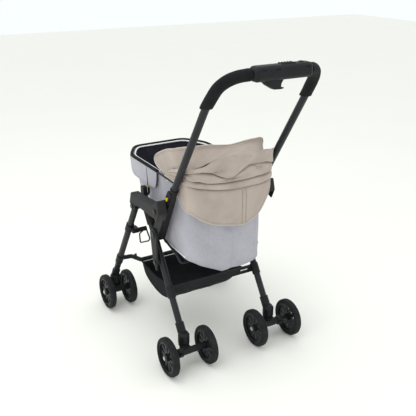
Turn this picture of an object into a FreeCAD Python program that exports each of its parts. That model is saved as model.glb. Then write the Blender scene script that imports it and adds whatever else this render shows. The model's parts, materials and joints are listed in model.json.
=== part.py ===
import FreeCAD
import Part
import Sketcher
import math
import os

# Folding pet stroller with a reversible push handle.
# Row frame in millimetres: +Z up, the front faces -Y, the middle plane is X = 0, left side is +X.
# "ahead" is a distance measured forward from the rear axle; "side" is a distance from the middle plane.

Vector = FreeCAD.Vector
Rotation = FreeCAD.Rotation

DIMENSIONS = {
    # wheels and casters
    "rear_axle_y": 162.5,
    "wheelbase": 490.0,
    "wheel_radius": 65.0,
    "tyre_width": 24.0,
    "tyre_crown": 8.0,
    "rim_radius": 52.0,
    "rim_well_radius": 46.5,
    "rim_width": 19.0,
    "web_thickness": 8.0,
    "hub_radius": 13.0,
    "hub_length": 25.0,
    "spoke_count": 10.0,
    "axle_radius": 4.0,
    "axle_cap_radius": 6.5,
    "axle_cap_length": 3.0,
    "running_gap": 0.05,
    "side_gap": 0.5,
    "rear_caster_side": 168.0,
    "rear_track_half": 70.0,
    "rear_trail": 26.0,
    "front_caster_side": 203.0,
    "front_track_half": 42.5,
    "front_trail": 24.0,
    "sleeve_radius": 11.0,
    "stem_radius": 6.0,
    "stem_top": 100.0,
    "socket_bottom": 84.0,
    "socket_top": 112.0,
    "socket_radius": 19.0,
    "ferrule_radius": 14.5,
    "ferrule_top": 142.0,
    # legs and their pivots
    "leg_radius": 11.0,
    "leg_bore": 9.5,
    "leg_foot_height": 112.0,
    "rear_leg_side": 168.0,
    "front_leg_side": 203.0,
    "front_leg_slope": 0.629,
    "rear_leg_slope": 0.67,
    "apex_ahead": 284.0,
    "apex_height": 482.0,
    "elbow_ahead": 112.0,
    "elbow_height": 522.0,
    "hub_ahead": 182.0,
    "hub_height": 412.0,
    "link_height": 316.0,
    "pin_radius": 5.0,
    "pin_head_radius": 8.5,
    "pin_head_length": 2.5,
    "hub_pin_radius": 6.0,
    # side members, by distance from the middle plane
    "handle_arm_inner": 158.0,
    "handle_arm_outer": 179.5,
    "stay_inner": 180.0,
    "stay_outer": 187.0,
    "link_inner": 187.5,
    "link_outer": 193.5,
    "armrest_inner": 187.5,
    "armrest_outer": 218.5,
    "armrest_wall": 3.5,
    # handle
    "handle_radius": 11.0,
    "handle_bore": 9.6,
    "handle_top_height": 982.0,
    "handle_top_ahead": -209.0,
    "foam_radius": 16.5,
    "housing_half": 93.0,
    "housing_depth": 42.0,
    "housing_height": 40.0,
    "lever_half": 36.0,
    "button_radius": 7.0,
    # soft goods
    "bag_half": 145.0,
    "bag_rim_height": 610.0,
    "bag_wall": 4.0,
    "rim_wire_radius": 3.6,
    "rim_wire_side": 150.0,
    "bow_radius": 3.5,
    "bow_side": 150.5,
    "canopy_half": 152.0,
    "canopy_wall": 5.0,
    "basket_half": 141.0,
    "basket_wall": 3.5,
    "bail_radius": 2.6,
    "bail_side": 151.5,
}

document = FreeCAD.newDocument("pet_stroller")
sheet = document.addObject("Spreadsheet::Sheet", "dims")
for row, (alias, value) in enumerate(DIMENSIONS.items(), start=1):
    sheet.set(f"A{row}", alias)
    sheet.set(f"B{row}", str(value))
    sheet.setAlias(f"B{row}", alias)
document.recompute()

SIDES = {"left": 1.0, "right": -1.0}
X_AXIS = Vector(1, 0, 0)
Y_AXIS = Vector(0, 1, 0)
Z_AXIS = Vector(0, 0, 1)
nodes = []


def dim(alias):
    """Value of one cell of the dimension sheet."""
    return float(getattr(sheet, alias))


def place(side, ahead, height):
    """Point from its distance to the side, ahead of the rear axle and above the floor."""
    return Vector(side, dim("rear_axle_y") - ahead, height)


def bind(thing, **expressions):
    """Ties properties of an object to the dimension sheet."""
    for name, expression in expressions.items():
        if isinstance(expression, str):
            thing.setExpression(name, expression)
        else:
            setattr(thing, name, expression)


def cylinder(name, radius, length, base, direction=Z_AXIS):
    """Round bar that starts at base and runs along direction."""
    thing = document.addObject("Part::Cylinder", name)
    bind(thing, Radius=radius, Height=length)
    thing.Placement = FreeCAD.Placement(base, Rotation(Z_AXIS, direction))
    return thing


def block(name, length, width, height, corner):
    """Rectangular block with its lowest corner at corner."""
    thing = document.addObject("Part::Box", name)
    bind(thing, Length=length, Width=width, Height=height)
    thing.Placement = FreeCAD.Placement(corner, Rotation())
    return thing


def fuse(name, base, *others):
    """Union of several objects."""
    for number, other in enumerate(others, start=1):
        thing = document.addObject("Part::Fuse", f"{name}_{number}")
        thing.Base = base
        thing.Tool = other
        base = thing
    return base


def cut(name, base, *tools):
    """Base with every tool taken away."""
    for number, tool in enumerate(tools, start=1):
        thing = document.addObject("Part::Cut", f"{name}_{number}")
        thing.Base = base
        thing.Tool = tool
        base = thing
    return base


def mirrored(name, source):
    """Copy of a left-hand object on the right-hand side."""
    thing = document.addObject("Part::Mirroring", name)
    thing.Source = source
    thing.Normal = X_AXIS
    return thing


def compound(name, *things):
    """Several separate solids that make one node."""
    thing = document.addObject("Part::Compound", name)
    thing.Links = list(things)
    return thing


def feature(name, shape):
    """Object whose shape is computed from the sheet by this script."""
    thing = document.addObject("Part::Feature", name)
    thing.Shape = shape
    return thing


def node(label, thing):
    """Registers an object as one exported sub-part."""
    thing.Label = label
    nodes.append(thing)
    return thing


def pair(label, left_thing):
    """Left-hand object and its mirror image as two nodes."""
    node(f"{label}_left", left_thing)
    node(f"{label}_right", mirrored(f"{label}_mirror", left_thing))


def both(label, left_thing):
    """Left-hand object and its mirror image as one node of two solids."""
    node(label, compound(f"{label}_pair", left_thing, mirrored(f"{label}_mirror", left_thing)))


# ---------------------------------------------------------------- outlines and paths

def rounded_wire(points, radius, closed=True):
    """Straight runs through the points, joined by tangent arcs."""
    count = len(points)
    edges = []
    start = None
    first_entry = None
    for index, corner in enumerate(points):
        if not closed and index in (0, count - 1):
            if index == 0:
                start = corner
            else:
                edges.append(Part.LineSegment(start, corner).toShape())
            continue
        back = (points[index - 1] - corner).normalize()
        onward = (points[(index + 1) % count] - corner).normalize()
        half_turn = (math.pi - back.getAngle(onward)) / 2
        reach = radius * math.tan(half_turn)
        bisector = (back + onward).normalize()
        entry = corner + back * reach
        leave = corner + onward * reach
        middle = corner + bisector * (radius / math.cos(half_turn) - radius)
        if start is not None and start.distanceToPoint(entry) > 1e-6:
            edges.append(Part.LineSegment(start, entry).toShape())
        if start is None:
            first_entry = entry
        edges.append(Part.Arc(entry, middle, leave).toShape())
        start = leave
    if closed and start.distanceToPoint(first_entry) > 1e-6:
        edges.append(Part.LineSegment(start, first_entry).toShape())
    return Part.Wire(edges)


def bar_along(wire, radius):
    """Solid round bar swept along a path of lines and arcs."""
    edge = wire.OrderedEdges[0]
    begin = edge.valueAt(edge.FirstParameter)
    heading = edge.tangentAt(edge.FirstParameter)
    if edge.Orientation == "Reversed":
        begin = edge.valueAt(edge.LastParameter)
        heading = edge.tangentAt(edge.LastParameter) * -1
    profile = Part.Wire(Part.makeCircle(radius, begin, heading))
    return wire.makePipeShell([profile], True, True)


def tube_along(wire, radius, bore):
    """Hollow round tube swept along a path of lines and arcs."""
    return bar_along(wire, radius).cut(bar_along(wire, bore))


def side_face(outline, side, radius):
    """Face in a plane of constant side, from points given as (ahead, height)."""
    points = [place(side, ahead, height) for ahead, height in outline]
    return Part.Face(rounded_wire(points, radius))


def strap_outline(ahead_a, height_a, radius_a, ahead_b, height_b, radius_b, side):
    """Outline round two circles in a plane of constant side."""
    centre_a = place(side, ahead_a, height_a)
    centre_b = place(side, ahead_b, height_b)
    along = (centre_b - centre_a).normalize()
    span = centre_a.distanceToPoint(centre_b)
    lean = math.asin((radius_a - radius_b) / span)
    across = X_AXIS.cross(along)
    up = across * math.cos(lean) + along * math.sin(lean)
    down = across * -math.cos(lean) + along * math.sin(lean)
    top = Part.LineSegment(centre_a + up * radius_a, centre_b + up * radius_b)
    end_b = Part.Arc(centre_b + up * radius_b, centre_b + along * radius_b, centre_b + down * radius_b)
    bottom = Part.LineSegment(centre_b + down * radius_b, centre_a + down * radius_a)
    end_a = Part.Arc(centre_a + down * radius_a, centre_a - along * radius_a, centre_a + up * radius_a)
    return Part.Wire([edge.toShape() for edge in (top, end_b, bottom, end_a)])


# ---------------------------------------------------------------- frame geometry

apex = (dim("apex_ahead"), dim("apex_height"))
elbow = (dim("elbow_ahead"), dim("elbow_height"))
hub = (dim("hub_ahead"), dim("hub_height"))


def rear_leg_ahead(height):
    """How far ahead of the rear axle the rear leg's centre line is at a height."""
    return dim("apex_ahead") - dim("rear_leg_slope") * (dim("apex_height") - height)


def front_leg_ahead(height):
    """How far ahead of the rear axle the front leg's centre line is at a height."""
    return dim("apex_ahead") + dim("front_leg_slope") * (dim("apex_height") - height)


LEGS = {
    "rear": (dim("rear_leg_side"), rear_leg_ahead),
    "front": (dim("front_leg_side"), front_leg_ahead),
}
LEG_END_GAP = 20.0
link = (rear_leg_ahead(dim("link_height")), dim("link_height"))


def leg_point(which, height):
    """Point on a left leg's centre line."""
    side, ahead_at = LEGS[which]
    return place(side, ahead_at(height), height)


def leg_direction(which):
    """Unit vector up a left leg."""
    return (leg_point(which, dim("apex_height")) - leg_point(which, 0.0)).normalize()


def leg_bar(name, which, radius, low, high):
    """Round bar along a left leg between two heights."""
    start = leg_point(which, low)
    length = start.distanceToPoint(leg_point(which, high))
    return cylinder(name, radius, length, start, leg_direction(which))


def leg_tube(which, top):
    """Left leg tube, from its socket to its hinge."""
    outer = leg_bar(f"{which}_leg_outer", which, "dims.leg_radius", dim("leg_foot_height"), top)
    inner = leg_bar(f"{which}_leg_inner", which, "dims.leg_bore", dim("leg_foot_height") - 5, top + 5)
    return outer, inner


# ---------------------------------------------------------------- wheels

def wheel_sketch(body, name, geometry):
    """Sketch in the wheel's own plane, which is perpendicular to the axle."""
    sketch = body.newObject("Sketcher::SketchObject", name)
    plane = next(item for item in body.Origin.OriginFeatures if item.Role == "YZ_Plane")
    sketch.AttachmentSupport = [(plane, "")]
    sketch.MapMode = "FlatFace"
    for curve in geometry:
        sketch.addGeometry(curve, False)
    return sketch


def circle_sketch(body, name, *radii):
    """Concentric circles whose radii come from the sheet."""
    circles = [Part.Circle(Vector(0, 0, 0), Z_AXIS, dim(alias)) for alias in radii]
    sketch = wheel_sketch(body, name, circles)
    for index, alias in enumerate(radii):
        number = sketch.addConstraint(Sketcher.Constraint("Radius", index, dim(alias)))
        sketch.setExpression(f"Constraints[{number}]", f"dims.{alias}")
        sketch.addConstraint(Sketcher.Constraint("Coincident", index, 3, -1, 1))
    return sketch


def pad(body, name, sketch, length):
    """Symmetric pad of a sketch."""
    thing = body.newObject("PartDesign::Pad", name)
    thing.Profile = sketch
    thing.Midplane = True
    thing.setExpression("Length", length)
    return thing


def pocket(body, name, sketch, length):
    """Symmetric pocket of a sketch."""
    thing = body.newObject("PartDesign::Pocket", name)
    thing.Profile = sketch
    thing.Midplane = True
    thing.setExpression("Length", length)
    return thing


GAP_INNER_CENTRE = 20.5
GAP_INNER_RADIUS = 2.0
GAP_OUTER_CENTRE = 38.0
GAP_OUTER_RADIUS = 6.2


def spoke_gap():
    """Drop-shaped opening between two spokes, narrow at the hub and wide at the rim."""
    lean = math.asin((GAP_OUTER_RADIUS - GAP_INNER_RADIUS) / (GAP_OUTER_CENTRE - GAP_INNER_CENTRE))
    side = Vector(math.cos(lean), -math.sin(lean), 0)
    other = Vector(-math.cos(lean), -math.sin(lean), 0)
    inner = Vector(0, GAP_INNER_CENTRE, 0)
    outer = Vector(0, GAP_OUTER_CENTRE, 0)
    low = inner - Vector(0, GAP_INNER_RADIUS, 0)
    high = outer + Vector(0, GAP_OUTER_RADIUS, 0)
    return [
        Part.LineSegment(inner + side * GAP_INNER_RADIUS, outer + side * GAP_OUTER_RADIUS),
        Part.ArcOfCircle(outer + side * GAP_OUTER_RADIUS, high, outer + other * GAP_OUTER_RADIUS),
        Part.LineSegment(outer + other * GAP_OUTER_RADIUS, inner + other * GAP_INNER_RADIUS),
        Part.ArcOfCircle(inner + other * GAP_INNER_RADIUS, low, inner + side * GAP_INNER_RADIUS),
    ]


def rim(name, centre):
    """Spoked plastic rim with a hub, a web and a tyre seat."""
    body = document.addObject("PartDesign::Body", f"{name}_body")
    pad(body, f"{name}_web", circle_sketch(body, f"{name}_web_sketch", "rim_radius"), "dims.web_thickness")
    hub_sketch = circle_sketch(body, f"{name}_hub_sketch", "hub_radius")
    pad(body, f"{name}_hub", hub_sketch, "dims.hub_length")
    seat_sketch = circle_sketch(body, f"{name}_seat_sketch", "rim_radius", "rim_well_radius")
    pad(body, f"{name}_seat", seat_sketch, "dims.rim_width")
    gap = pocket(body, f"{name}_gap", wheel_sketch(body, f"{name}_gap_sketch", spoke_gap()),
                 "dims.hub_length * 2")
    pattern = body.newObject("PartDesign::PolarPattern", f"{name}_gaps")
    pattern.Originals = [gap]
    turning = next(item for item in body.Origin.OriginFeatures if item.Role == "X_Axis")
    pattern.Axis = (turning, [""])
    pattern.Angle = 360
    pattern.setExpression("Occurrences", "dims.spoke_count")
    body.Tip = pattern
    bore = circle_sketch(body, f"{name}_bore_sketch", "axle_radius")
    bore.setExpression("Constraints[0]", "dims.axle_radius + dims.running_gap")
    body.Tip = pocket(body, f"{name}_bore", bore, "dims.hub_length * 2")
    body.Placement = FreeCAD.Placement(centre, Rotation())
    return body


def tyre(name, centre):
    """Solid tyre with a rounded crown, seated on the rim."""
    left_face = centre - X_AXIS * (dim("tyre_width") / 2)
    outer = cylinder(f"{name}_outer", "dims.wheel_radius", "dims.tyre_width", left_face, X_AXIS)
    document.recompute()
    crown = document.addObject("Part::Fillet", f"{name}_crown")
    crown.Base = outer
    rims = [index for index, edge in enumerate(outer.Shape.Edges, start=1)
            if isinstance(edge.Curve, Part.Circle)]
    crown.Edges = [(index, dim("tyre_crown"), dim("tyre_crown")) for index in rims]
    inner = cylinder(f"{name}_seat", "dims.rim_radius", "dims.tyre_width", left_face, X_AXIS)
    return cut(name, crown, inner)


# ---------------------------------------------------------------- casters

def caster(corner, side_name):
    """Twin-wheel swivel caster: yoke, axle, two rims and two tyres."""
    sign = SIDES[side_name]
    front = corner == "front"
    side = sign * dim(f"{corner}_caster_side")
    axle_ahead = dim("wheelbase") if front else 0.0
    half_track = dim(f"{corner}_track_half")
    name = f"{corner}_{side_name}"
    axle_centre = place(side, axle_ahead, dim("wheel_radius"))
    swivel = place(side, axle_ahead + dim(f"{corner}_trail"), 0.0)

    half_gap = half_track - dim("hub_length") / 2
    sleeve_half = half_gap - dim("side_gap")
    sleeve = cylinder(f"sleeve_{name}", "dims.sleeve_radius", sleeve_half * 2,
                      axle_centre - X_AXIS * sleeve_half, X_AXIS)
    turntable = cylinder(f"turntable_{name}", "dims.socket_radius - 1", 9.0, swivel + Z_AXIS * 74.5)
    neck = cylinder(f"neck_{name}", "dims.socket_radius - 4", 22.0, swivel + Z_AXIS * 56)
    stem = cylinder(f"stem_{name}", "dims.stem_radius", "dims.stem_top - 80", swivel + Z_AXIS * 80)
    bridge = block(f"bridge_{name}", 22.0, dim(f"{corner}_trail") + 8, 24.0,
                   swivel + Vector(-11, -2, 55))
    solid = fuse(f"yoke_solid_{name}", turntable, stem, neck, bridge, sleeve)
    axle_hole = cylinder(f"axle_hole_{name}", "dims.axle_radius", sleeve_half * 2 + 20,
                         axle_centre - X_AXIS * (sleeve_half + 10), X_AXIS)
    node(f"caster_yoke_{name}", cut(f"yoke_{name}", solid, axle_hole))

    reach = half_track + dim("hub_length") / 2 + dim("side_gap")
    shaft = cylinder(f"shaft_{name}", "dims.axle_radius", reach * 2, axle_centre - X_AXIS * reach, X_AXIS)
    caps = [cylinder(f"cap_{name}_{number}", "dims.axle_cap_radius", "dims.axle_cap_length",
                     axle_centre + X_AXIS * (way * reach), X_AXIS * way)
            for number, way in enumerate((1, -1))]
    node(f"axle_{name}", fuse(f"axle_solid_{name}", shaft, *caps))

    for place_name, way in (("outer", sign), ("inner", -sign)):
        centre = axle_centre + X_AXIS * (way * half_track)
        wheel_name = f"{name}_{place_name}"
        node(f"rim_{wheel_name}", rim(f"r_{wheel_name}", centre))
        node(f"tyre_{wheel_name}", tyre(f"t_{wheel_name}", centre))


for corner_name in ("rear", "front"):
    for side_label in SIDES:
        caster(corner_name, side_label)


def brake_pedal():
    """Foot pedal that turns on the left rear caster's axle sleeve."""
    ring_start = place(dim("rear_caster_side") + 20, 0.0, dim("wheel_radius"))
    ring = cylinder("pedal_ring", 15.0, 14.0, ring_start, X_AXIS)
    tread_outline = [(-8, 72), (-30, 86), (-42, 90), (-42, 84), (-30, 79), (-13, 60)]
    face = side_face(tread_outline, dim("rear_caster_side") + 20, 1.5)
    tread = feature("pedal_tread", face.extrude(X_AXIS * 14))
    bore = cylinder("pedal_bore", "dims.sleeve_radius + dims.running_gap", 20.0,
                    ring_start - X_AXIS * 3, X_AXIS)
    return cut("pedal", fuse("pedal_solid", ring, tread), bore)


pair("brake_pedal", brake_pedal())


# ---------------------------------------------------------------- leg sockets

def leg_socket(which):
    """Plastic foot that holds a leg tube above and a caster stem below."""
    swivel_ahead = dim(f"{which}_trail") + (dim("wheelbase") if which == "front" else 0.0)
    swivel = place(dim(f"{which}_leg_side"), swivel_ahead, dim("socket_bottom"))
    head = cylinder(f"{which}_socket_head", "dims.socket_radius", "dims.socket_top - dims.socket_bottom",
                    swivel)
    dome = document.addObject("Part::Cone", f"{which}_socket_dome")
    bind(dome, Radius1="dims.socket_radius", Radius2="dims.ferrule_radius - 2", Height=10.0)
    dome.Placement = FreeCAD.Placement(swivel + Z_AXIS * 28, Rotation())
    ferrule = leg_bar(f"{which}_ferrule", which, "dims.ferrule_radius", 100.0, dim("ferrule_top"))
    bore = leg_bar(f"{which}_tube_seat", which, "dims.leg_radius", dim("leg_foot_height"),
                   dim("ferrule_top") + 20)
    stem_hole = cylinder(f"{which}_stem_hole", "dims.stem_radius + dims.running_gap",
                         "dims.stem_top - dims.socket_bottom + 3", swivel - Z_AXIS * 1)
    return cut(f"{which}_socket", fuse(f"{which}_socket_solid", head, dome, ferrule), bore, stem_hole)


both("rear_leg_sockets", leg_socket("rear"))
both("front_leg_sockets", leg_socket("front"))


# ---------------------------------------------------------------- legs

def pin_hole(name, point, radius, inner, outer):
    """Hole for a cross pin through a left-hand member, at an (ahead, height) point."""
    return cylinder(name, radius, outer - inner, place(inner, *point), X_AXIS)


rear_outer, rear_inner = leg_tube("rear", dim("apex_height") - LEG_END_GAP)
link_hole = pin_hole("rear_leg_link_hole", link, "dims.pin_radius", 150.0, 185.0)
pair("rear_leg", cut("rear_leg", rear_outer, rear_inner, link_hole))

front_outer, front_inner = leg_tube("front", dim("apex_height") - LEG_END_GAP)
pair("front_leg", cut("front_leg", front_outer, front_inner))

# hinge head that closes the front leg's top inside the armrest
head_width = dim("leg_radius") * 2
front_head = cylinder("front_head_eye", 13.5, head_width,
                      place(dim("front_leg_side") - dim("leg_radius"), *apex), X_AXIS)
front_plug = leg_bar("front_head_plug", "front", "dims.leg_bore", dim("apex_height") - 55, dim("apex_height"))
front_collar = leg_bar("front_head_collar", "front", "dims.leg_radius",
                       dim("apex_height") - LEG_END_GAP, dim("apex_height"))
front_eye_hole = pin_hole("front_eye_hole", apex, "dims.pin_radius + dims.running_gap", 185.0, 220.0)
both("front_leg_heads", cut("front_head", fuse("front_head_solid", front_head, front_plug, front_collar),
                            front_eye_hole))


# ---------------------------------------------------------------- crossbars

def leg_clamp(name, which, low, high):
    """Collar round a left leg, as a solid bar and the bar to cut out of it."""
    collar = leg_bar(f"{name}_collar", which, "dims.leg_radius + 3", low, high)
    seat = leg_bar(f"{name}_seat", which, "dims.leg_radius", low - 40, high + 40)
    return collar, seat


CROSSBAR_LOW = 214.0
CROSSBAR_HIGH = 239.0
CROSSBAR_AHEAD = 118.0
CROSSBAR_THICKNESS = 7.0
rear_collar, rear_seat = leg_clamp("rear_clamp", "rear", CROSSBAR_LOW - 4, CROSSBAR_HIGH + 4)
half_bar = block("rear_bar_half", "dims.rear_leg_side", CROSSBAR_THICKNESS, CROSSBAR_HIGH - CROSSBAR_LOW,
                 place(0.0, CROSSBAR_AHEAD + CROSSBAR_THICKNESS, CROSSBAR_LOW))
left_bar = fuse("rear_bar_left", half_bar, rear_collar)
right_bar = mirrored("rear_bar_right", left_bar)
mirror_seat = mirrored("rear_seat_right", rear_seat)
SLOT_LENGTH = 34.0
SLOT_HEIGHT = 7.0
slot = block("rear_bar_slot", SLOT_LENGTH, CROSSBAR_THICKNESS + 10, SLOT_HEIGHT,
             place(-143.0, CROSSBAR_AHEAD + CROSSBAR_THICKNESS + 5, 223.0))
node("rear_crossbar", cut("rear_crossbar", fuse("rear_bar", left_bar, right_bar),
                          rear_seat, mirror_seat, slot))

FRONT_BAR_RADIUS = 8.0
front_clamp_collar, front_clamp_seat = leg_clamp("front_clamp", "front", 193.0, 227.0)
bar_side = dim("front_leg_side")
front_bar_path = [
    place(bar_side - 4, front_leg_ahead(210.0), 210.0),
    place(bar_side - 46, front_leg_ahead(210.0) - 2, 208.0),
    place(bar_side - 66, 412.0, 206.0),
    place(66 - bar_side, 412.0, 206.0),
    place(46 - bar_side, front_leg_ahead(210.0) - 2, 208.0),
    place(4 - bar_side, front_leg_ahead(210.0), 210.0),
]
front_bar_shape = bar_along(rounded_wire(front_bar_path, 10.0, closed=False), FRONT_BAR_RADIUS)
front_bar = feature("front_bar", front_bar_shape)
front_knob = cylinder("front_bar_knob", 5.0, 14.0, place(150.0, 432.0, 210.0))
front_knob_right = mirrored("front_bar_knob_right", front_knob)
front_collar_right = mirrored("front_clamp_right", front_clamp_collar)
front_seat_right = mirrored("front_seat_right", front_clamp_seat)
node("front_crossbar", cut("front_crossbar",
                           fuse("front_bar_solid", front_bar, front_clamp_collar, front_collar_right,
                                front_knob, front_knob_right),
                           front_clamp_seat, front_seat_right))

# bracket and wire bail on the inner side of each front leg
bracket_collar, bracket_seat = leg_clamp("bail_clamp", "front", 365.0, 391.0)
bracket_arm = cylinder("bail_bracket_arm", 8.0, dim("front_leg_side") - 150.0,
                       place(150.0, front_leg_ahead(378.0) - 22, 370.0), X_AXIS)
bracket_web = block("bail_bracket_web", 22.0, 30.0, 16.0,
                    place(dim("front_leg_side") - 24.0, front_leg_ahead(378.0) + 4, 362.0))
bail_path = [
    place(dim("bail_side"), 321.0, 366.0),
    place(dim("bail_side"), 297.0, 343.0),
    place(dim("bail_side"), 308.0, 329.0),
    place(dim("bail_side"), 379.0, 293.0),
    place(dim("bail_side"), 384.0, 326.0),
    place(dim("bail_side"), 334.0, 366.0),
]
bail_shape = bar_along(rounded_wire(bail_path, 5.0, closed=False), dim("bail_radius"))
bail = feature("wire_bail", bail_shape)
both("wire_bails", bail)
bracket = cut("bail_bracket", fuse("bail_bracket_solid", bracket_collar, bracket_arm, bracket_web),
              bracket_seat, bail)
both("bail_brackets", bracket)


# ---------------------------------------------------------------- apex brackets and pins

apex_eye = cylinder("apex_eye", 16.0, "dims.stay_outer - 158", place(158.0, *apex), X_AXIS)
apex_sleeve = leg_bar("apex_sleeve", "rear", "dims.leg_radius + 3", dim("apex_height") - 60,
                      dim("apex_height"))
apex_post = feature("lock_post", side_face([(276, 488), (282, 541), (304, 541), (302, 486)], 162.0, 4.0)
                    .extrude(X_AXIS * 14))
rim_post_path = [
    place(166.0, 292.0, 505.0),
    place(dim("rim_wire_side"), 294.0, 512.0),
    place(dim("rim_wire_side"), 300.0, dim("bag_rim_height") - 6),
]
rim_post = feature("rim_post", bar_along(rounded_wire(rim_post_path, 6.0, closed=False), 4.0))
apex_leg_cut = leg_bar("apex_leg_cut", "rear", "dims.leg_radius", dim("apex_height") - 120,
                       dim("apex_height") - LEG_END_GAP)
apex_hole = pin_hole("apex_hole", apex, "dims.pin_radius", 150.0, 200.0)
both("apex_brackets", cut("apex_bracket", fuse("apex_bracket_solid", apex_eye, apex_sleeve, apex_post, rim_post),
                          apex_leg_cut, apex_hole))


def headed_pin(name, point, radius, inner, outer, head_radius):
    """Cross pin with a round head on its outer end."""
    shaft = cylinder(f"{name}_shaft", radius, outer - inner, place(inner, *point), X_AXIS)
    head = cylinder(f"{name}_head", head_radius, "dims.pin_head_length", place(outer, *point), X_AXIS)
    return fuse(name, shaft, head)


apex_pin = headed_pin("apex_pin", apex, "dims.pin_radius", 158.0, dim("armrest_outer") + 0.5,
                      "dims.pin_head_radius")
link_pin = headed_pin("link_pin", link, "dims.pin_radius", 160.0, dim("link_outer") + 0.5,
                      "dims.pin_head_radius")
link_spacer = cylinder("link_spacer", 9.0, 7.5, place(179.5, *link), X_AXIS)
link_pin_full = fuse("link_pin_full", link_pin, link_spacer)
left_pins = compound("left_frame_pins", apex_pin, link_pin_full)
both("frame_pins", left_pins)
elbow_pin = headed_pin("elbow_pin", elbow, "dims.pin_radius", dim("armrest_inner") + 0.1,
                       dim("armrest_outer") + 0.3, "dims.pin_head_radius")
both("elbow_pins", elbow_pin)
hub_pin = headed_pin("hub_pin", hub, "dims.hub_pin_radius", 158.5, dim("link_outer") + 0.5, 12.0)
both("hub_pins", hub_pin)


# ---------------------------------------------------------------- side members

def strap(name, start, start_radius, end, end_radius, inner, outer):
    """Flat bar with round ends between two (ahead, height) points."""
    wire = strap_outline(*start, start_radius, *end, end_radius, inner)
    return feature(name, Part.Face(wire).extrude(X_AXIS * (outer - inner)))


stay_plate = strap("stay_plate", hub, 20.0, elbow, 13.0, dim("stay_inner"), dim("stay_outer"))
stay_hub_hole = pin_hole("stay_hub_hole", hub, "dims.hub_pin_radius", 175.0, 190.0)
stay_elbow_hole = pin_hole("stay_elbow_hole", elbow, "dims.pin_radius + 0.5", 175.0, 190.0)
both("side_stays", cut("side_stay", stay_plate, stay_hub_hole, stay_elbow_hole))

link_plate = strap("link_plate", hub, 21.0, link, 14.0, dim("link_inner"), dim("link_outer"))
tip_outline = [(link[0] - 13.5, link[1] + 2), (link[0] - 8, link[1] - 32), (link[0] + 13, link[1] + 2)]
link_tip = feature("link_tip", side_face(tip_outline, dim("link_inner"), 2.0)
                   .extrude(X_AXIS * (dim("link_outer") - dim("link_inner"))))
link_hub_hole = pin_hole("link_hub_hole", hub, "dims.hub_pin_radius + dims.running_gap", 185.0, 200.0)
link_foot_hole = pin_hole("link_foot_hole", link, "dims.pin_radius + dims.running_gap", 185.0, 200.0)
both("lower_links", cut("lower_link", fuse("lower_link_solid", link_plate, link_tip),
                        link_hub_hole, link_foot_hole))

ARMREST_OUTLINE = [
    (262, 528), (293, 529), (305, 490), (288, 472), (252, 494),
    (120, 496), (98, 488), (82, 524), (94, 566), (128, 540),
]
CAVITY_OUTLINE = [
    (262, 524), (289, 525), (301, 490), (301, 440), (70, 440), (70, 500), (86, 524), (97, 556), (127, 536),
]


def armrest():
    """Hollow armrest cover, open underneath, over the front leg's hinge."""
    width = dim("armrest_outer") - dim("armrest_inner")
    outer = side_face(ARMREST_OUTLINE, dim("armrest_inner"), 6.0).extrude(X_AXIS * width)
    long_edges = [edge for edge in outer.Edges
                  if abs(edge.CenterOfMass.x - dim("armrest_outer")) < 0.01
                  or abs(edge.CenterOfMass.x - dim("armrest_inner")) < 0.01]
    outer = outer.makeFillet(4.5, long_edges)
    wall = dim("armrest_wall")
    inner = side_face(CAVITY_OUTLINE, dim("armrest_inner") + wall, 2.0).extrude(X_AXIS * (width - 2 * wall))
    return feature("armrest_shell", outer.cut(inner))


armrest_holes = [
    pin_hole("armrest_apex_hole", apex, "dims.pin_radius + dims.running_gap", 180.0, 230.0),
    pin_hole("armrest_elbow_hole", elbow, "dims.pin_radius", 180.0, 230.0),
]
pair("armrest", cut("armrest", armrest(), *armrest_holes))


# ---------------------------------------------------------------- handle

handle_joint = (74.4, 595.0)
HANDLE_SLOPE = 0.632
HANDLE_FOOT_HEIGHT = 562.0
HANDLE_SIDE = 168.0
HANDLE_BEND_RADII = [380.0, 92.0, 38.0]
FOAM_LOW = 884.0


def handle_ahead(height):
    """How far ahead of the rear axle the handle tube's centre line is at a height."""
    return handle_joint[0] - HANDLE_SLOPE * (height - handle_joint[1])


def rounded_runs(points, radii):
    """Open path whose every inner corner has its own radius."""
    edges = []
    start = points[0]
    for index, radius in enumerate(radii, start=1):
        corner = points[index]
        back = (points[index - 1] - corner).normalize()
        onward = (points[index + 1] - corner).normalize()
        half_turn = (math.pi - back.getAngle(onward)) / 2
        reach = radius * math.tan(half_turn)
        entry = corner + back * reach
        leave = corner + onward * reach
        middle = corner + (back + onward).normalize() * (radius / math.cos(half_turn) - radius)
        edges.append(Part.LineSegment(start, entry).toShape())
        edges.append(Part.Arc(entry, middle, leave).toShape())
        start = leave
    edges.append(Part.LineSegment(start, points[-1]).toShape())
    return Part.Wire(edges)


handle_top = (dim("handle_top_ahead"), dim("handle_top_height"))
handle_left = [
    place(HANDLE_SIDE, handle_ahead(HANDLE_FOOT_HEIGHT), HANDLE_FOOT_HEIGHT),
    place(165.0, handle_ahead(890.0), 890.0),
    place(152.0, -173.0, 972.0),
    place(88.0, *handle_top),
]
handle_right = [Vector(-point.x, point.y, point.z) for point in reversed(handle_left)]
handle_wire = rounded_runs(handle_left + handle_right, HANDLE_BEND_RADII + HANDLE_BEND_RADII[::-1])
node("handle_tube", feature("handle_tube", tube_along(handle_wire, dim("handle_radius"), dim("handle_bore"))))

# foam sleeves follow the handle's bends, from the straight side to the grip housing
foam_wire = rounded_runs(handle_left + [place(0.0, *handle_top)], HANDLE_BEND_RADII)
foam_core = bar_along(foam_wire, dim("foam_radius")).cut(bar_along(foam_wire, dim("handle_radius")))
foam_span = Part.makeBox(200, 900, 200, Vector(dim("housing_half") + 1.0, -400, FOAM_LOW))
both("foam_grips", feature("foam_grip", foam_core.common(foam_span)))


def arm_point(distance, side):
    """Point on the left handle arm's centre line, measured from the hub."""
    start = place(side, *hub)
    heading = (place(side, *handle_joint) - start).normalize()
    return start + heading * distance


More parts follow.
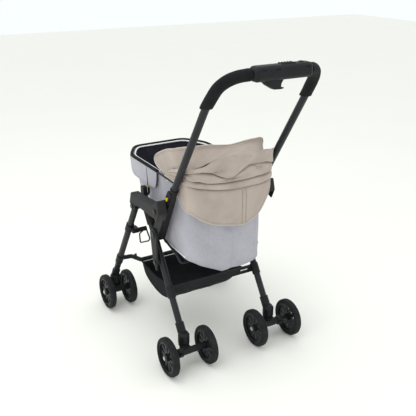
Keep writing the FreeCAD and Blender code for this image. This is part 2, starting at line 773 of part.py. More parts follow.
arm_inner = dim("handle_arm_inner")
arm_outer = dim("handle_arm_outer")
arm_bar = strap("handle_arm_bar", hub, 22.0, (handle_joint[0] + 16, handle_joint[1] - 27), 12.0,
                arm_inner, arm_outer - 1)
ARM_SOCKET_RADIUS = 13.4
ARM_SOCKET_LENGTH = 66.0
ARM_SOCKET_BELOW_TUBE = 20.0
tube_heading = (handle_left[1] - handle_left[0]).normalize()
arm_socket = cylinder("handle_arm_socket", ARM_SOCKET_RADIUS, ARM_SOCKET_LENGTH,
                      handle_left[0] - tube_heading * ARM_SOCKET_BELOW_TUBE, tube_heading)
lug_heading = (place(arm_outer, *handle_joint) - place(arm_outer, *hub)).normalize()
arm_lug = block("handle_arm_lug", 5.5, 20.0, 46.0, Vector(0, 0, 0))
lug_turn = Rotation(Z_AXIS, lug_heading)
lug_base = arm_point(158.0, arm_outer - 1)
arm_lug.Placement = FreeCAD.Placement(lug_base + lug_turn.multVec(Vector(0, -10, 0)), lug_turn)
arm_tube_cut = cylinder("handle_arm_tube_cut", "dims.handle_radius", 120.0, handle_left[0], tube_heading)
arm_hub_hole = pin_hole("arm_hub_hole", hub, "dims.hub_pin_radius + dims.running_gap", 150.0, 185.0)
slider_channel = block("slider_channel", 4.0, 6.6, 28.0, Vector(0, 0, 0))
channel_base = arm_point(166.0, arm_outer + 1.5)
slider_channel.Placement = FreeCAD.Placement(channel_base + lug_turn.multVec(Vector(0, -3.3, 0)), lug_turn)
pair("handle_arm", cut("handle_arm", fuse("handle_arm_solid", arm_bar, arm_socket, arm_lug),
                       arm_tube_cut, arm_hub_hole, slider_channel))

# lock slider that frees the handle so that it can swing over to the other side
slider_cap = block("slider_cap", 2.4, 9.0, 8.0, Vector(0, 0, 0))
cap_base = arm_point(171.0, arm_outer + 4.8)
slider_cap.Placement = FreeCAD.Placement(cap_base + lug_turn.multVec(Vector(0, -4.5, 0)), lug_turn)
slider_key = block("slider_key", 3.4, 5.8, 12.0, Vector(0, 0, 0))
key_base = arm_point(169.0, arm_outer + 1.8)
slider_key.Placement = FreeCAD.Placement(key_base + lug_turn.multVec(Vector(0, -2.9, 0)), lug_turn)
pair("lock_slider", fuse("lock_slider", slider_cap, slider_key))


# ---------------------------------------------------------------- grip housing, fold lever, lock button

housing_half = dim("housing_half")
housing_top = dim("handle_top_height") + dim("housing_height") / 2
housing_base = dim("handle_top_height") - dim("housing_height") / 2
handle_centre = place(0.0, dim("handle_top_ahead"), dim("handle_top_height"))


def rounded_block(half, depth, low, high, radius):
    """Block centred on the handle's top run, with all its outer edges rounded."""
    corner = Vector(-half, handle_centre.y - depth / 2, low)
    shape = Part.makeBox(half * 2, depth, high - low, corner)
    return shape.makeFillet(radius, shape.Edges)


housing_solid = rounded_block(housing_half, dim("housing_depth"), housing_base, housing_top, 14.0)
tube_channel = Part.makeCylinder(dim("handle_radius"), housing_half * 2 + 20,
                                 handle_centre - X_AXIS * (housing_half + 10), X_AXIS)
LEVER_THICKNESS = 7.0
LEVER_CENTRE = 22.0
LEVER_LOW = dim("handle_top_height") - 44.0
LEVER_HIGH = dim("handle_top_height") - 13.0
LEVER_PIVOT_HEIGHT = dim("handle_top_height") - 17.0
LEVER_BARREL_RADIUS = 4.2
SLOT_HALF_DEPTH = 12.0
lever_slot = Part.makeBox(dim("lever_half") * 2 + 4, SLOT_HALF_DEPTH * 2, 20.0,
                          Vector(LEVER_CENTRE - dim("lever_half") - 2, handle_centre.y - SLOT_HALF_DEPTH,
                                 housing_base - 10))
BUTTON_SIDE = -62.0
button_centre = handle_centre + Vector(BUTTON_SIDE, 0, 0)
recess_floor = dim("handle_top_height") + 13.0
button_recess = Part.makeCylinder(dim("button_radius") + 0.3, 30.0,
                                  Vector(button_centre.x, button_centre.y, recess_floor))
upper_half = Part.makeBox(400, 100, 100, Vector(-200, handle_centre.y - 50, dim("handle_top_height")))
lower_half = Part.makeBox(400, 100, 100, Vector(-200, handle_centre.y - 50, dim("handle_top_height") - 100))
housing_hollowed = housing_solid.cut(tube_channel)
node("grip_housing_top", feature("grip_housing_top", housing_hollowed.common(upper_half).cut(button_recess)))
node("grip_housing_bottom", feature("grip_housing_bottom",
                                    housing_hollowed.common(lower_half).cut(lever_slot)))

lever_box = Part.makeBox(dim("lever_half") * 2, LEVER_THICKNESS, LEVER_HIGH - LEVER_LOW,
                         Vector(LEVER_CENTRE - dim("lever_half"), handle_centre.y - LEVER_THICKNESS / 2,
                                LEVER_LOW))
lever_corners = [edge for edge in lever_box.Edges if edge.CenterOfMass.z < LEVER_LOW + 0.1]
lever_barrel = Part.makeCylinder(LEVER_BARREL_RADIUS, dim("lever_half") * 2,
                                 Vector(LEVER_CENTRE - dim("lever_half"), handle_centre.y, LEVER_PIVOT_HEIGHT),
                                 X_AXIS)
node("fold_lever", feature("fold_lever", lever_box.makeFillet(3.2, lever_corners).fuse(lever_barrel)))

button_low = recess_floor + 2.3
button_shape = Part.makeCylinder(dim("button_radius"), housing_top + 2.0 - button_low,
                                 Vector(button_centre.x, button_centre.y, button_low))
button_edge = [edge for edge in button_shape.Edges if edge.CenterOfMass.z > housing_top + 1]
node("lock_button", feature("lock_button", button_shape.makeFillet(1.0, button_edge)))


# ---------------------------------------------------------------- bag

BAG_SIDE_OUTLINE = [(52, 610), (52, 352), (208, 357), (337, 372), (404, 392), (430, 440), (508, 610)]
BAG_PLAN_OUTLINE = [(52, 141), (200, 145), (430, 145), (508, 96)]


def bag_form(inset):
    """Bag volume, from its side outline and its plan outline, with the walls moved in by inset."""
    half = dim("bag_half")
    side_points = [place(-half - 10, ahead, height) for ahead, height in BAG_SIDE_OUTLINE]
    side_wire = rounded_wire(side_points, 12.0)
    if inset:
        side_wire = side_wire.makeOffset2D(-inset)
    by_side = Part.Face(side_wire).extrude(X_AXIS * (2 * half + 20))
    plan = [place(side, ahead, 200.0) for ahead, side in BAG_PLAN_OUTLINE]
    plan += [place(-side, ahead, 200.0) for ahead, side in reversed(BAG_PLAN_OUTLINE)]
    plan_wire = rounded_wire(plan, 20.0)
    if inset:
        plan_wire = plan_wire.makeOffset2D(-inset)
    by_plan = Part.Face(plan_wire).extrude(Z_AXIS * 600)
    return by_side.common(by_plan)


REAR_PANEL_LOW = 290.0
REAR_PANEL_HALF = 138.0
REAR_PANEL_HEIGHT = 134.0
bag_outer = bag_form(0.0)
bag_cavity = bag_form(dim("bag_wall"))
mouth_face = max(bag_cavity.Faces, key=lambda face: face.CenterOfMass.z)
bag_mouth = mouth_face.extrude(Z_AXIS * 40)
rear_panel = Part.makeBox(REAR_PANEL_HALF * 2, dim("bag_wall"), REAR_PANEL_HEIGHT,
                          place(-REAR_PANEL_HALF, BAG_SIDE_OUTLINE[0][0] + dim("bag_wall"), REAR_PANEL_LOW))
bag_walls = bag_outer.fuse(rear_panel).cut(bag_cavity).cut(bag_mouth)
node("bag_shell", feature("bag_shell", bag_walls.removeSplitter()))

rim_side = dim("rim_wire_side")
rim_height = dim("bag_rim_height") - 3
rim_path = [
    place(rim_side, 92.0, rim_height - 2),
    place(rim_side, 200.0, rim_height),
    place(rim_side, 433.0, rim_height),
    place(100.0, 514.0, rim_height),
    place(-100.0, 514.0, rim_height),
    place(-rim_side, 433.0, rim_height),
    place(-rim_side, 200.0, rim_height),
    place(-rim_side, 92.0, rim_height - 2),
]
rim_bar = bar_along(rounded_wire(rim_path, 24.0, closed=False), dim("rim_wire_radius"))
rim_post_shape = rim_post.Shape
rim_post_right = rim_post_shape.mirror(Vector(0, 0, 0), X_AXIS)
node("bag_rim", feature("bag_rim", rim_bar.cut(rim_post_shape).cut(rim_post_right)))

bow_side = dim("bow_side")
bow_path = [
    place(156.0, rear_leg_ahead(392.0) - 2, 392.0),
    place(bow_side, rear_leg_ahead(392.0) - 22, 388.0),
    place(bow_side, 104.0, 366.0),
    place(bow_side - 2, 74.0, 344.0),
    place(2 - bow_side, 74.0, 344.0),
    place(-bow_side, 104.0, 366.0),
    place(-bow_side, rear_leg_ahead(392.0) - 22, 388.0),
    place(-156.0, rear_leg_ahead(392.0) - 2, 392.0),
]
bow_bar = bar_along(rounded_wire(bow_path, 9.0, closed=False), dim("bow_radius"))
leg_block = Part.makeCylinder(dim("leg_radius"), 500.0, leg_point("rear", 112.0), leg_direction("rear"))
leg_block_right = leg_block.mirror(Vector(0, 0, 0), X_AXIS)
node("support_bow", feature("support_bow", bow_bar.cut(leg_block).cut(leg_block_right)))


# ---------------------------------------------------------------- canopy

CANOPY_REAR = 18.0
CANOPY_FRONT = 246.0
SIDE_HEM = 613.0


def arch_wire(ahead, half, hem, shoulder, crown, inset):
    """Closed arch in a plane across the stroller."""
    points = [
        place(half - inset, ahead, hem),
        place(half - inset, ahead, shoulder),
        place(half * 0.72, ahead, crown - 12 - inset),
        place(0.0, ahead, crown - inset),
        place(-half * 0.72, ahead, crown - 12 - inset),
        place(inset - half, ahead, shoulder),
        place(inset - half, ahead, hem),
    ]
    return rounded_wire(points, 4.0)


canopy_half = dim("canopy_half")
wall = dim("canopy_wall")
hood_outer = Part.makeLoft([
    arch_wire(CANOPY_REAR, canopy_half, SIDE_HEM, 676.0, 722.0, 0.0),
    arch_wire(CANOPY_FRONT, canopy_half, SIDE_HEM, 640.0, 678.0, 0.0),
], True)
hood_inner = Part.makeLoft([
    arch_wire(CANOPY_REAR + wall, canopy_half, SIDE_HEM - 20, 674.0, 721.0, wall),
    arch_wire(CANOPY_FRONT + 10, canopy_half, SIDE_HEM - 20, 636.0, 676.0, wall),
], True)
APRON_SIDE_HEM = 566.0
APRON_LOW_HEM = 464.0
APRON_TOP = 640.0
apron_arc = Part.Arc(place(canopy_half, CANOPY_REAR, APRON_SIDE_HEM), place(0.0, CANOPY_REAR, APRON_LOW_HEM),
                     place(-canopy_half, CANOPY_REAR, APRON_SIDE_HEM)).toShape()
apron_corners = [
    place(-canopy_half, CANOPY_REAR, APRON_SIDE_HEM),
    place(-canopy_half, CANOPY_REAR, APRON_TOP),
    place(canopy_half, CANOPY_REAR, APRON_TOP),
    place(canopy_half, CANOPY_REAR, APRON_SIDE_HEM),
]
apron_edges = [apron_arc] + [Part.LineSegment(start, end).toShape()
                             for start, end in zip(apron_corners, apron_corners[1:])]
apron = Part.Face(Part.Wire(apron_edges)).extrude(Y_AXIS * -wall)
node("canopy", feature("canopy", hood_outer.cut(hood_inner).fuse(apron).removeSplitter()))


# ---------------------------------------------------------------- basket

BASKET_OUTLINE = [(400, 206), (394, 158), (345, 128), (260, 119), (206, 148), (134, 226)]


def basket_form():
    """Fabric basket, open at the top, hung between the crossbars."""
    half = dim("basket_half")
    thickness = dim("basket_wall")
    points = [place(-half, ahead, height) for ahead, height in BASKET_OUTLINE]
    wire = rounded_wire(points, 8.0)
    outer = Part.Face(wire).extrude(X_AXIS * (2 * half))
    inner_wire = wire.makeOffset2D(-thickness)
    inner = Part.Face(inner_wire).extrude(X_AXIS * (2 * (half - thickness)))
    inner.translate(X_AXIS * thickness)
    opening = inner.copy()
    opening.translate(Z_AXIS * 16)
    return outer.cut(inner.fuse(opening))


node("basket", feature("basket", basket_form()))


# ---------------------------------------------------------------- checks and export

document.recompute()
faults = []
for thing in document.Objects:
    if {"Invalid", "Error"} & set(thing.State):
        faults.append(f"{thing.Name}: {thing.State}")
for thing in nodes:
    shape = thing.Shape
    if shape.isNull() or not shape.isValid() or not shape.Solids:
        faults.append(f"{thing.Label}: bad shape")
if faults:
    raise SystemExit("the model has faults:\n" + "\n".join(faults))

os.makedirs("parts", exist_ok=True)
for thing in nodes:
    thing.Shape.exportStep(os.path.join("parts", f"{thing.Label}.step"))
whole = Part.makeCompound([thing.Shape for thing in nodes]).BoundBox
print(len(nodes), "nodes; box", [round(value, 2) for value in
                                 (whole.XMin, whole.XMax, whole.YMin, whole.YMax, whole.ZMin, whole.ZMax)])
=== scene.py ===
import json
import math

import bpy
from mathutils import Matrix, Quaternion, Vector, noise


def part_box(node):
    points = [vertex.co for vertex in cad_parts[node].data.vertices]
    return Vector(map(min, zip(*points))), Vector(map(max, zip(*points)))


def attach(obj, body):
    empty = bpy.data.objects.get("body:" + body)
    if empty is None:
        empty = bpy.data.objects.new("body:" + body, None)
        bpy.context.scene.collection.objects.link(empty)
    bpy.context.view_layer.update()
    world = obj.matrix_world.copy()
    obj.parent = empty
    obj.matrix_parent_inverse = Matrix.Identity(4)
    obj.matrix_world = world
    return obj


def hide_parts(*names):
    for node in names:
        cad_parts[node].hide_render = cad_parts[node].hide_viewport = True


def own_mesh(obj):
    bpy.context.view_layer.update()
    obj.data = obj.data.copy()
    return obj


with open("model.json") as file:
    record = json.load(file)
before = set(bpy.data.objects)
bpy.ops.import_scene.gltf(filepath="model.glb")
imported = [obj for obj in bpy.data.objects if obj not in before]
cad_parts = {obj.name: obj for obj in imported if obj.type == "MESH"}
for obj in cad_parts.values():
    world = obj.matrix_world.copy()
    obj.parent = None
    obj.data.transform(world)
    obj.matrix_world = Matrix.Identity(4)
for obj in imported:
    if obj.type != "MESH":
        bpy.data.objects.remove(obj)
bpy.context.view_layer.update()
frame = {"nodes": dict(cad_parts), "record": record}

REAR_AXLE_Y = sum(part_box("axle_rear_left"), Vector()).y / 2
MM = 0.001
SIDES = {"left": -1, "right": 1}


def place(right, ahead, height):
    """Point in the row frame, from millimetres right, ahead of the rear axle and above the floor."""
    return Vector((-right * MM, REAR_AXLE_Y - ahead * MM, height * MM))


# ---------------------------------------------------------------- finishes

class Finish:
    """A material on one Principled shader, with short ways to add the nodes that feed it."""

    def __init__(self, name, sockets):
        self.material = bpy.data.materials.new(name)
        self.material.use_nodes = True
        self.tree = self.material.node_tree
        self.shader = self.tree.nodes["Principled BSDF"]
        for socket, value in sockets.items():
            self.shader.inputs[socket].default_value = value

    def node(self, kind, inputs=None, **settings):
        """Adds a node. An input is a number, or another node's output."""
        made = self.tree.nodes.new(kind)
        for setting, value in settings.items():
            setattr(made, setting, value)
        for socket, value in (inputs or {}).items():
            if isinstance(value, bpy.types.NodeSocket):
                self.tree.links.new(value, made.inputs[socket])
            else:
                made.inputs[socket].default_value = value
        return made

    def coordinates(self, kind="Object", stretch=(1.0, 1.0, 1.0)):
        source = self.node("ShaderNodeTexCoord").outputs[kind]
        return self.node("ShaderNodeMapping", {"Vector": source, "Scale": stretch}).outputs["Vector"]

    def cloud(self, where, scale, detail=3.0, roughness=0.5):
        return self.node("ShaderNodeTexNoise", {"Vector": where, "Scale": scale, "Detail": detail,
                                                "Roughness": roughness}).outputs["Fac"]

    def threads(self, where, scale, direction, distortion=0.6):
        return self.node("ShaderNodeTexWave", {"Vector": where, "Scale": scale, "Distortion": distortion,
                                               "Detail": 1.0, "Detail Scale": 2.0},
                         bands_direction=direction, wave_profile="SIN").outputs["Fac"]

    def blend(self, operation, first, second):
        return self.node("ShaderNodeMath", {0: first, 1: second}, operation=operation).outputs["Value"]

    def ramp(self, factor, low, low_colour, high, high_colour):
        made = self.node("ShaderNodeValToRGB", {"Fac": factor})
        stops = zip(made.color_ramp.elements, (low, high), (low_colour, high_colour))
        for element, position, colour in stops:
            element.position = position
            element.color = (*colour, 1.0)
        return made.outputs["Color"]

    def range(self, factor, low, high):
        made = self.node("ShaderNodeMapRange", {"Value": factor, "To Min": low, "To Max": high})
        return made.outputs["Result"]

    def colour(self, output):
        self.tree.links.new(output, self.shader.inputs["Base Color"])

    def roughness(self, output):
        self.tree.links.new(output, self.shader.inputs["Roughness"])

    def relief(self, layers):
        """Stacks bumps, each (height output, strength, depth in metres)."""
        normal = None
        for height, strength, depth in layers:
            inputs = {"Height": height, "Strength": strength, "Distance": depth}
            if normal is not None:
                inputs["Normal"] = normal
            normal = self.node("ShaderNodeBump", inputs).outputs["Normal"]
        self.tree.links.new(normal, self.shader.inputs["Normal"])


def hard_finish(name, dark, light, roughness, sockets, grain_scale, grain_depth):
    """Painted tube or moulded plastic: faint mottling, scuffs that change the gloss, and a fine grain."""
    finish = Finish(name, sockets)
    where = finish.coordinates()
    mottle = finish.cloud(where, 14.0, 5.0, 0.6)
    scuffs = finish.cloud(finish.coordinates(stretch=(1.0, 1.0, 0.25)), 160.0, 4.0, 0.7)
    finish.colour(finish.ramp(finish.blend("ADD", mottle, finish.blend("MULTIPLY", scuffs, 0.25)),
                              0.45, dark, 0.85, light))
    finish.roughness(finish.range(scuffs, roughness - 0.07, roughness + 0.1))
    finish.relief([(finish.cloud(where, grain_scale, 2.0), 0.35, grain_depth)])
    return finish.material


def woven_finish(name, dark, light, thread, sockets, slub=0.5, depth=0.0004):
    """Plain woven cloth. The threads follow the piece's UV map, which is in metres."""
    finish = Finish(name, sockets)
    where = finish.coordinates("UV")
    scale = math.pi / 10 / thread
    warp = finish.threads(where, scale, "X")
    weft = finish.threads(where, scale, "Y")
    along = finish.cloud(finish.coordinates("UV", (900.0, 55.0, 1.0)), 1.0, 2.0)
    across = finish.cloud(finish.coordinates("UV", (55.0, 900.0, 1.0)), 1.0, 2.0)
    melange = finish.blend("MULTIPLY", finish.blend("ADD", along, across), 0.5)
    broad = finish.cloud(finish.coordinates("UV", (9.0, 9.0, 1.0)), 1.0, 4.0)
    tone = finish.blend("ADD", finish.blend("MULTIPLY", melange, slub),
                        finish.blend("MULTIPLY", broad, 1.0 - slub))
    finish.colour(finish.ramp(tone, 0.36, dark, 0.64, light))
    finish.roughness(finish.range(melange, 0.82, 0.97))
    weave = finish.blend("MAXIMUM", warp, weft)
    finish.relief([(broad, 0.5, 0.004), (finish.blend("MULTIPLY", weave, 0.5), 0.6, depth)])
    return finish.material


def foam_finish():
    """Closed-cell foam: matte, with small pores and faint grip marks."""
    finish = Finish("foam", {"Specular IOR Level": 0.12, "Sheen Weight": 0.03, "Sheen Roughness": 0.6})
    where = finish.coordinates()
    pores = finish.node("ShaderNodeTexVoronoi", {"Vector": where, "Scale": 620.0}).outputs["Distance"]
    marks = finish.cloud(where, 35.0, 5.0, 0.65)
    finish.colour(finish.ramp(marks, 0.3, (0.006, 0.006, 0.007), 0.75, (0.014, 0.014, 0.016)))
    finish.roughness(finish.range(marks, 0.84, 0.98))
    finish.relief([(marks, 0.25, 0.002), (pores, 0.7, 0.0006)])
    return finish.material


def tyre_finish():
    """Solid rubber: dull black, paler where it is dusty, with a fine texture."""
    finish = Finish("tyre", {"Specular IOR Level": 0.2})
    where = finish.coordinates()
    dust = finish.cloud(where, 45.0, 6.0, 0.7)
    finish.colour(finish.ramp(dust, 0.42, (0.009, 0.009, 0.010), 0.8, (0.030, 0.030, 0.033)))
    finish.roughness(finish.range(dust, 0.6, 0.85))
    finish.relief([(finish.cloud(where, 900.0, 2.0), 0.5, 0.0003)])
    return finish.material


def steel_finish():
    finish = Finish("steel", {"Metallic": 1.0})
    where = finish.coordinates(stretch=(1.0, 6.0, 6.0))
    wear = finish.cloud(where, 120.0, 4.0)
    finish.colour(finish.ramp(wear, 0.3, (0.45, 0.45, 0.47), 0.7, (0.78, 0.78, 0.8)))
    finish.roughness(finish.range(wear, 0.2, 0.4))
    finish.relief([(wear, 0.2, 0.0002)])
    return finish.material


SATIN = {"Specular IOR Level": 0.32, "Coat Weight": 0.06, "Coat Roughness": 0.3}
MOULDED = {"Specular IOR Level": 0.24}
CLOTH = {"Specular IOR Level": 0.15, "Sheen Weight": 0.25, "Sheen Roughness": 0.5}
DULL_CLOTH = {"Specular IOR Level": 0.06, "Sheen Weight": 0.02, "Sheen Roughness": 0.6}

FINISHES = {
    "tube": hard_finish("tube", (0.004, 0.0043, 0.0065), (0.010, 0.0105, 0.016), 0.42, SATIN, 1400.0, 0.0001),
    "plastic_black": hard_finish("plastic_black", (0.006, 0.006, 0.007), (0.013, 0.013, 0.015), 0.5, MOULDED,
                                 1100.0, 0.0002),
    "plastic_grey": hard_finish("plastic_grey", (0.014, 0.014, 0.015), (0.025, 0.024, 0.025), 0.55, MOULDED,
                                1000.0, 0.00025),
    "tyre": tyre_finish(),
    "rim": hard_finish("rim", (0.006, 0.006, 0.007), (0.014, 0.014, 0.016), 0.4, SATIN, 1200.0, 0.00015),
    "steel": steel_finish(),
    "foam": foam_finish(),
    "lock_yellow": hard_finish("lock_yellow", (0.62, 0.42, 0.01), (0.8, 0.58, 0.02), 0.4, MOULDED,
                               900.0, 0.0001),
    "bag_fabric": woven_finish("bag_fabric", (0.335, 0.325, 0.375), (0.50, 0.485, 0.54), 0.0011, CLOTH, 0.6),
    "canopy_fabric": woven_finish("canopy_fabric", (0.375, 0.31, 0.27), (0.50, 0.425, 0.375), 0.0009,
                                  CLOTH, 0.35, 0.0003),
    "basket_fabric": woven_finish("basket_fabric", (0.008, 0.008, 0.010), (0.022, 0.022, 0.026), 0.0018,
                                  DULL_CLOTH, 0.5),
}
LINING = woven_finish("lining", (0.010, 0.010, 0.016), (0.026, 0.026, 0.034), 0.0012, DULL_CLOTH)
HOOD_LINING = woven_finish("hood_lining", (0.72, 0.64, 0.54), (0.84, 0.77, 0.68), 0.001, CLOTH, 0.3)
BINDING = woven_finish("binding", (0.010, 0.010, 0.012), (0.022, 0.022, 0.025), 0.0008, DULL_CLOTH)
PALE_TRIM = woven_finish("pale_trim", (0.76, 0.75, 0.76), (0.88, 0.88, 0.88), 0.0007, CLOTH, 0.3)
BROWN_THREAD = woven_finish("brown_thread", (0.12, 0.07, 0.05), (0.20, 0.13, 0.10), 0.0005, DULL_CLOTH)
GREY_THREAD = woven_finish("grey_thread", (0.30, 0.30, 0.36), (0.38, 0.38, 0.45), 0.0005, DULL_CLOTH)
TAUPE_BINDING = woven_finish("taupe_binding", (0.50, 0.44, 0.39), (0.60, 0.54, 0.48), 0.0006, CLOTH, 0.3)
BLACK_PLASTIC = FINISHES["plastic_black"]

slot_of = {entry["node"]: entry["material_slot"] for entry in frame["record"]["subparts"]}


def dress_frame():
    """Gives every CAD node its finish, by the record's slot."""
    for name, node in frame["nodes"].items():
        material = FINISHES[slot_of[name]]
        if not node.material_slots:
            node.data.materials.append(material)
        for slot in node.material_slots:
            slot.material = material


dress_frame()


# ---------------------------------------------------------------- mesh tools

def through(table):
    """Smooth function through (position, value) pairs that never overshoots them, level beyond its ends."""
    xs = [x for x, _ in table]
    ys = [y for _, y in table]
    steps = [(ys[i + 1] - ys[i]) / (xs[i + 1] - xs[i]) for i in range(len(xs) - 1)]
    slopes = [steps[0]]
    for before, after in zip(steps, steps[1:]):
        slopes.append(0.0 if before * after <= 0 else 2 * before * after / (before + after))
    slopes.append(steps[-1])

    def value(x):
        if x <= xs[0]:
            return ys[0]
        if x >= xs[-1]:
            return ys[-1]
        i = max(k for k in range(len(xs) - 1) if xs[k] <= x)
        width = xs[i + 1] - xs[i]
        t = (x - xs[i]) / width
        return (ys[i] * (1 + 2 * t) * (1 - t) ** 2 + slopes[i] * width * t * (1 - t) ** 2
                + ys[i + 1] * t * t * (3 - 2 * t) + slopes[i + 1] * width * t * t * (t - 1))
    return value


def smooth_step(x, low, high):
    t = min(1.0, max(0.0, (x - low) / (high - low)))
    return t * t * (3 - 2 * t)


def spread(low, high, count):
    return [low + (high - low) * i / (count - 1) for i in range(count)]


def ripple(point, size, seed):
    """Smooth noise from -1 to 1 at a point, with folds about size metres apart."""
    return noise.noise(Vector(point) / size + Vector((seed * 7.3, seed * 3.1, seed * 5.7)))


def mesh_piece(name, points, faces, materials, uvs=None):
    mesh = bpy.data.meshes.new(name)
    mesh.from_pydata([tuple(p) for p in points], [], faces)
    for polygon in mesh.polygons:
        polygon.use_smooth = True
    for material in materials:
        mesh.materials.append(material)
    if uvs is not None:
        layer = mesh.uv_layers.new(name="cloth")
        for loop in mesh.loops:
            layer.data[loop.index].uv = uvs[loop.vertex_index]
    mesh.validate()
    piece = bpy.data.objects.new(name, mesh)
    bpy.context.scene.collection.objects.link(piece)
    return piece


def settle(piece):
    """Applies the piece's modifiers, so that its mesh is final."""
    bpy.context.view_layer.update()
    evaluated = piece.evaluated_get(bpy.context.evaluated_depsgraph_get())
    mesh = bpy.data.meshes.new_from_object(evaluated)
    piece.modifiers.clear()
    piece.data = mesh
    return piece


def cloth(name, rows, outside, inside=None, thickness=0.0012, closed=False, flip=False):
    """Sheet of cloth over rows of points, with a UV map in metres and a lining on its inner face."""
    wide = len(rows[0])
    points = [p for row in rows for p in row]
    uvs = []
    down = [0.0] * wide
    for r, row in enumerate(rows):
        run = 0.0
        for c, p in enumerate(row):
            if c:
                run += (p - row[c - 1]).length
            if r:
                down[c] += (p - rows[r - 1][c]).length
            uvs.append((run, down[c]))
    faces = []
    for r in range(len(rows) - 1):
        for c in range(wide if closed else wide - 1):
            n = (c + 1) % wide
            quad = (r * wide + c, r * wide + n, (r + 1) * wide + n, (r + 1) * wide + c)
            faces.append(quad[::-1] if flip else quad)
    piece = mesh_piece(name, points, faces, [outside, inside or outside], uvs)
    soft = piece.modifiers.new("soft", "SUBSURF")
    soft.levels = 1
    soft.render_levels = 1
    shell = piece.modifiers.new("cloth", "SOLIDIFY")
    shell.thickness = thickness
    shell.offset = -1.0
    shell.material_offset = 1
    shell.material_offset_rim = 0
    return settle(piece)


def cord_piece(name, points, radius, material, closed=False):
    """Round strip along points: a binding, piping, wire or seam."""
    curve = bpy.data.curves.new(name, "CURVE")
    curve.dimensions = "3D"
    curve.bevel_depth = radius
    curve.bevel_resolution = 3
    curve.use_fill_caps = not closed
    spline = curve.splines.new("POLY")
    spline.points.add(len(points) - 1)
    spline.use_cyclic_u = closed
    for target, point in zip(spline.points, points):
        target.co = (*point, 1.0)
    source = bpy.data.objects.new(name + "_line", curve)
    bpy.context.scene.collection.objects.link(source)
    bpy.context.view_layer.update()
    mesh = bpy.data.meshes.new_from_object(source.evaluated_get(bpy.context.evaluated_depsgraph_get()))
    bpy.data.objects.remove(source)
    mesh.materials.clear()
    mesh.materials.append(material)
    for polygon in mesh.polygons:
        polygon.use_smooth = True
    piece = bpy.data.objects.new(name, mesh)
    bpy.context.scene.collection.objects.link(piece)
    return piece


SHORTEST_SPAN = 1e-6


def stitches(name, points, material, length=0.0042, gap=0.0022, radius=0.00055):
    """A row of short stitches along a line of points."""
    made_points, made_faces = [], []
    travelled, start = 0.0, 0.0
    for first, second in zip(points, points[1:]):
        heading = second - first
        span = heading.length
        if span < SHORTEST_SPAN:
            continue
        heading.normalize()
        side = heading.cross(Vector((0, 0, 1)))
        side = (side if side.length > 0.1 else heading.cross(Vector((0, 1, 0)))).normalized() * radius
        rise = heading.cross(side).normalized() * radius
        while start < travelled + span:
            base = first + heading * max(0.0, start - travelled)
            tip = base + heading * length
            middle = (base + tip) / 2
            index = len(made_points)
            made_points += [base, tip]
            made_points += [middle + side, middle + rise, middle - side, middle - rise]
            ring = range(index + 2, index + 6)
            for a, b in zip(ring, [*ring[1:], ring[0]]):
                made_faces += [(index, a, b), (index + 1, b, a)]
            start += length + gap
        travelled += span
    return mesh_piece(name, made_points, made_faces, [material])


def wear(piece, body, slot_name, *replaced):
    """Puts a finished piece on its body, in place of CAD nodes if any are named. The slot name is not used.
    """
    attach(piece, body)
    if replaced:
        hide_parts(*replaced)
    return piece


class WrapLine:
    """Plan line of cloth round the back of the bag: across behind it and forward along both sides."""

    def __init__(self, half, rear, corner):
        self.rear, self.corner = rear, corner
        self.flat = half - corner
        self.bend = corner * math.pi / 2

    def point(self, along, height, outward=0.0):
        """along is millimetres from the middle of the rear, positive to the right."""
        side = 1 if along >= 0 else -1
        run = abs(along)
        turn = min(max(run - self.flat, 0.0), self.bend) / self.corner
        right = min(run, self.flat) + (self.corner + outward) * math.sin(turn)
        ahead = self.rear + self.corner - (self.corner + outward) * math.cos(turn)
        if run > self.flat + self.bend:
            ahead += run - self.flat - self.bend
        return place(side * right, ahead, height)


# ---------------------------------------------------------------- bag

RIM_HEIGHT = 610.0
RIM_FRONT = 508
BAG_HALF = 145
BAG_REAR = 52.0
BAG_TAPER = 0.055
FLOOR_FRONT = 404
FLOOR_FRONT_HEIGHT = 392
RIM_PLAN = [(-96, RIM_FRONT), (-BAG_HALF, 430), (-BAG_HALF, 200), (-141, 52),
            (141, 52), (BAG_HALF, 200), (BAG_HALF, 430), (96, RIM_FRONT)]
RIM_CORNERS = [26, 30, 60, 30, 30, 60, 30, 26]
FLOOR_LINE = through([(52, 352), (208, 357), (337, 372), (FLOOR_FRONT, FLOOR_FRONT_HEIGHT), (430, 392)])
FRONT_LINE = through([(FLOOR_FRONT_HEIGHT, FLOOR_FRONT), (440, 430), (610, RIM_FRONT)])


def rounded_loop(corners, radii, step):
    """Closed plan line with rounded corners, as evenly spaced (right, ahead) points."""
    raw = []
    count = len(corners)
    for i, radius in enumerate(radii):
        here = Vector(corners[i])
        back = (Vector(corners[i - 1]) - here).normalized()
        onward = (Vector(corners[(i + 1) % count]) - here).normalized()
        reach = min(radius, (Vector(corners[i - 1]) - here).length / 2,
                    (Vector(corners[(i + 1) % count]) - here).length / 2)
        first, last = here + back * reach, here + onward * reach
        raw += [first.lerp(here, t).lerp(here.lerp(last, t), t) for t in spread(0, 1, 7)]
    total = sum((b - a).length for a, b in zip(raw, raw[1:] + raw[:1]))
    even = []
    target, travelled = 0.0, 0.0
    for a, b in zip(raw, raw[1:] + raw[:1]):
        span = (b - a).length
        while span > 0 and target <= travelled + span and target < total - step / 2:
            even.append(a.lerp(b, (target - travelled) / span))
            target += step
        travelled += span
    return even


bag_plan = rounded_loop(RIM_PLAN, RIM_CORNERS, 9.0)


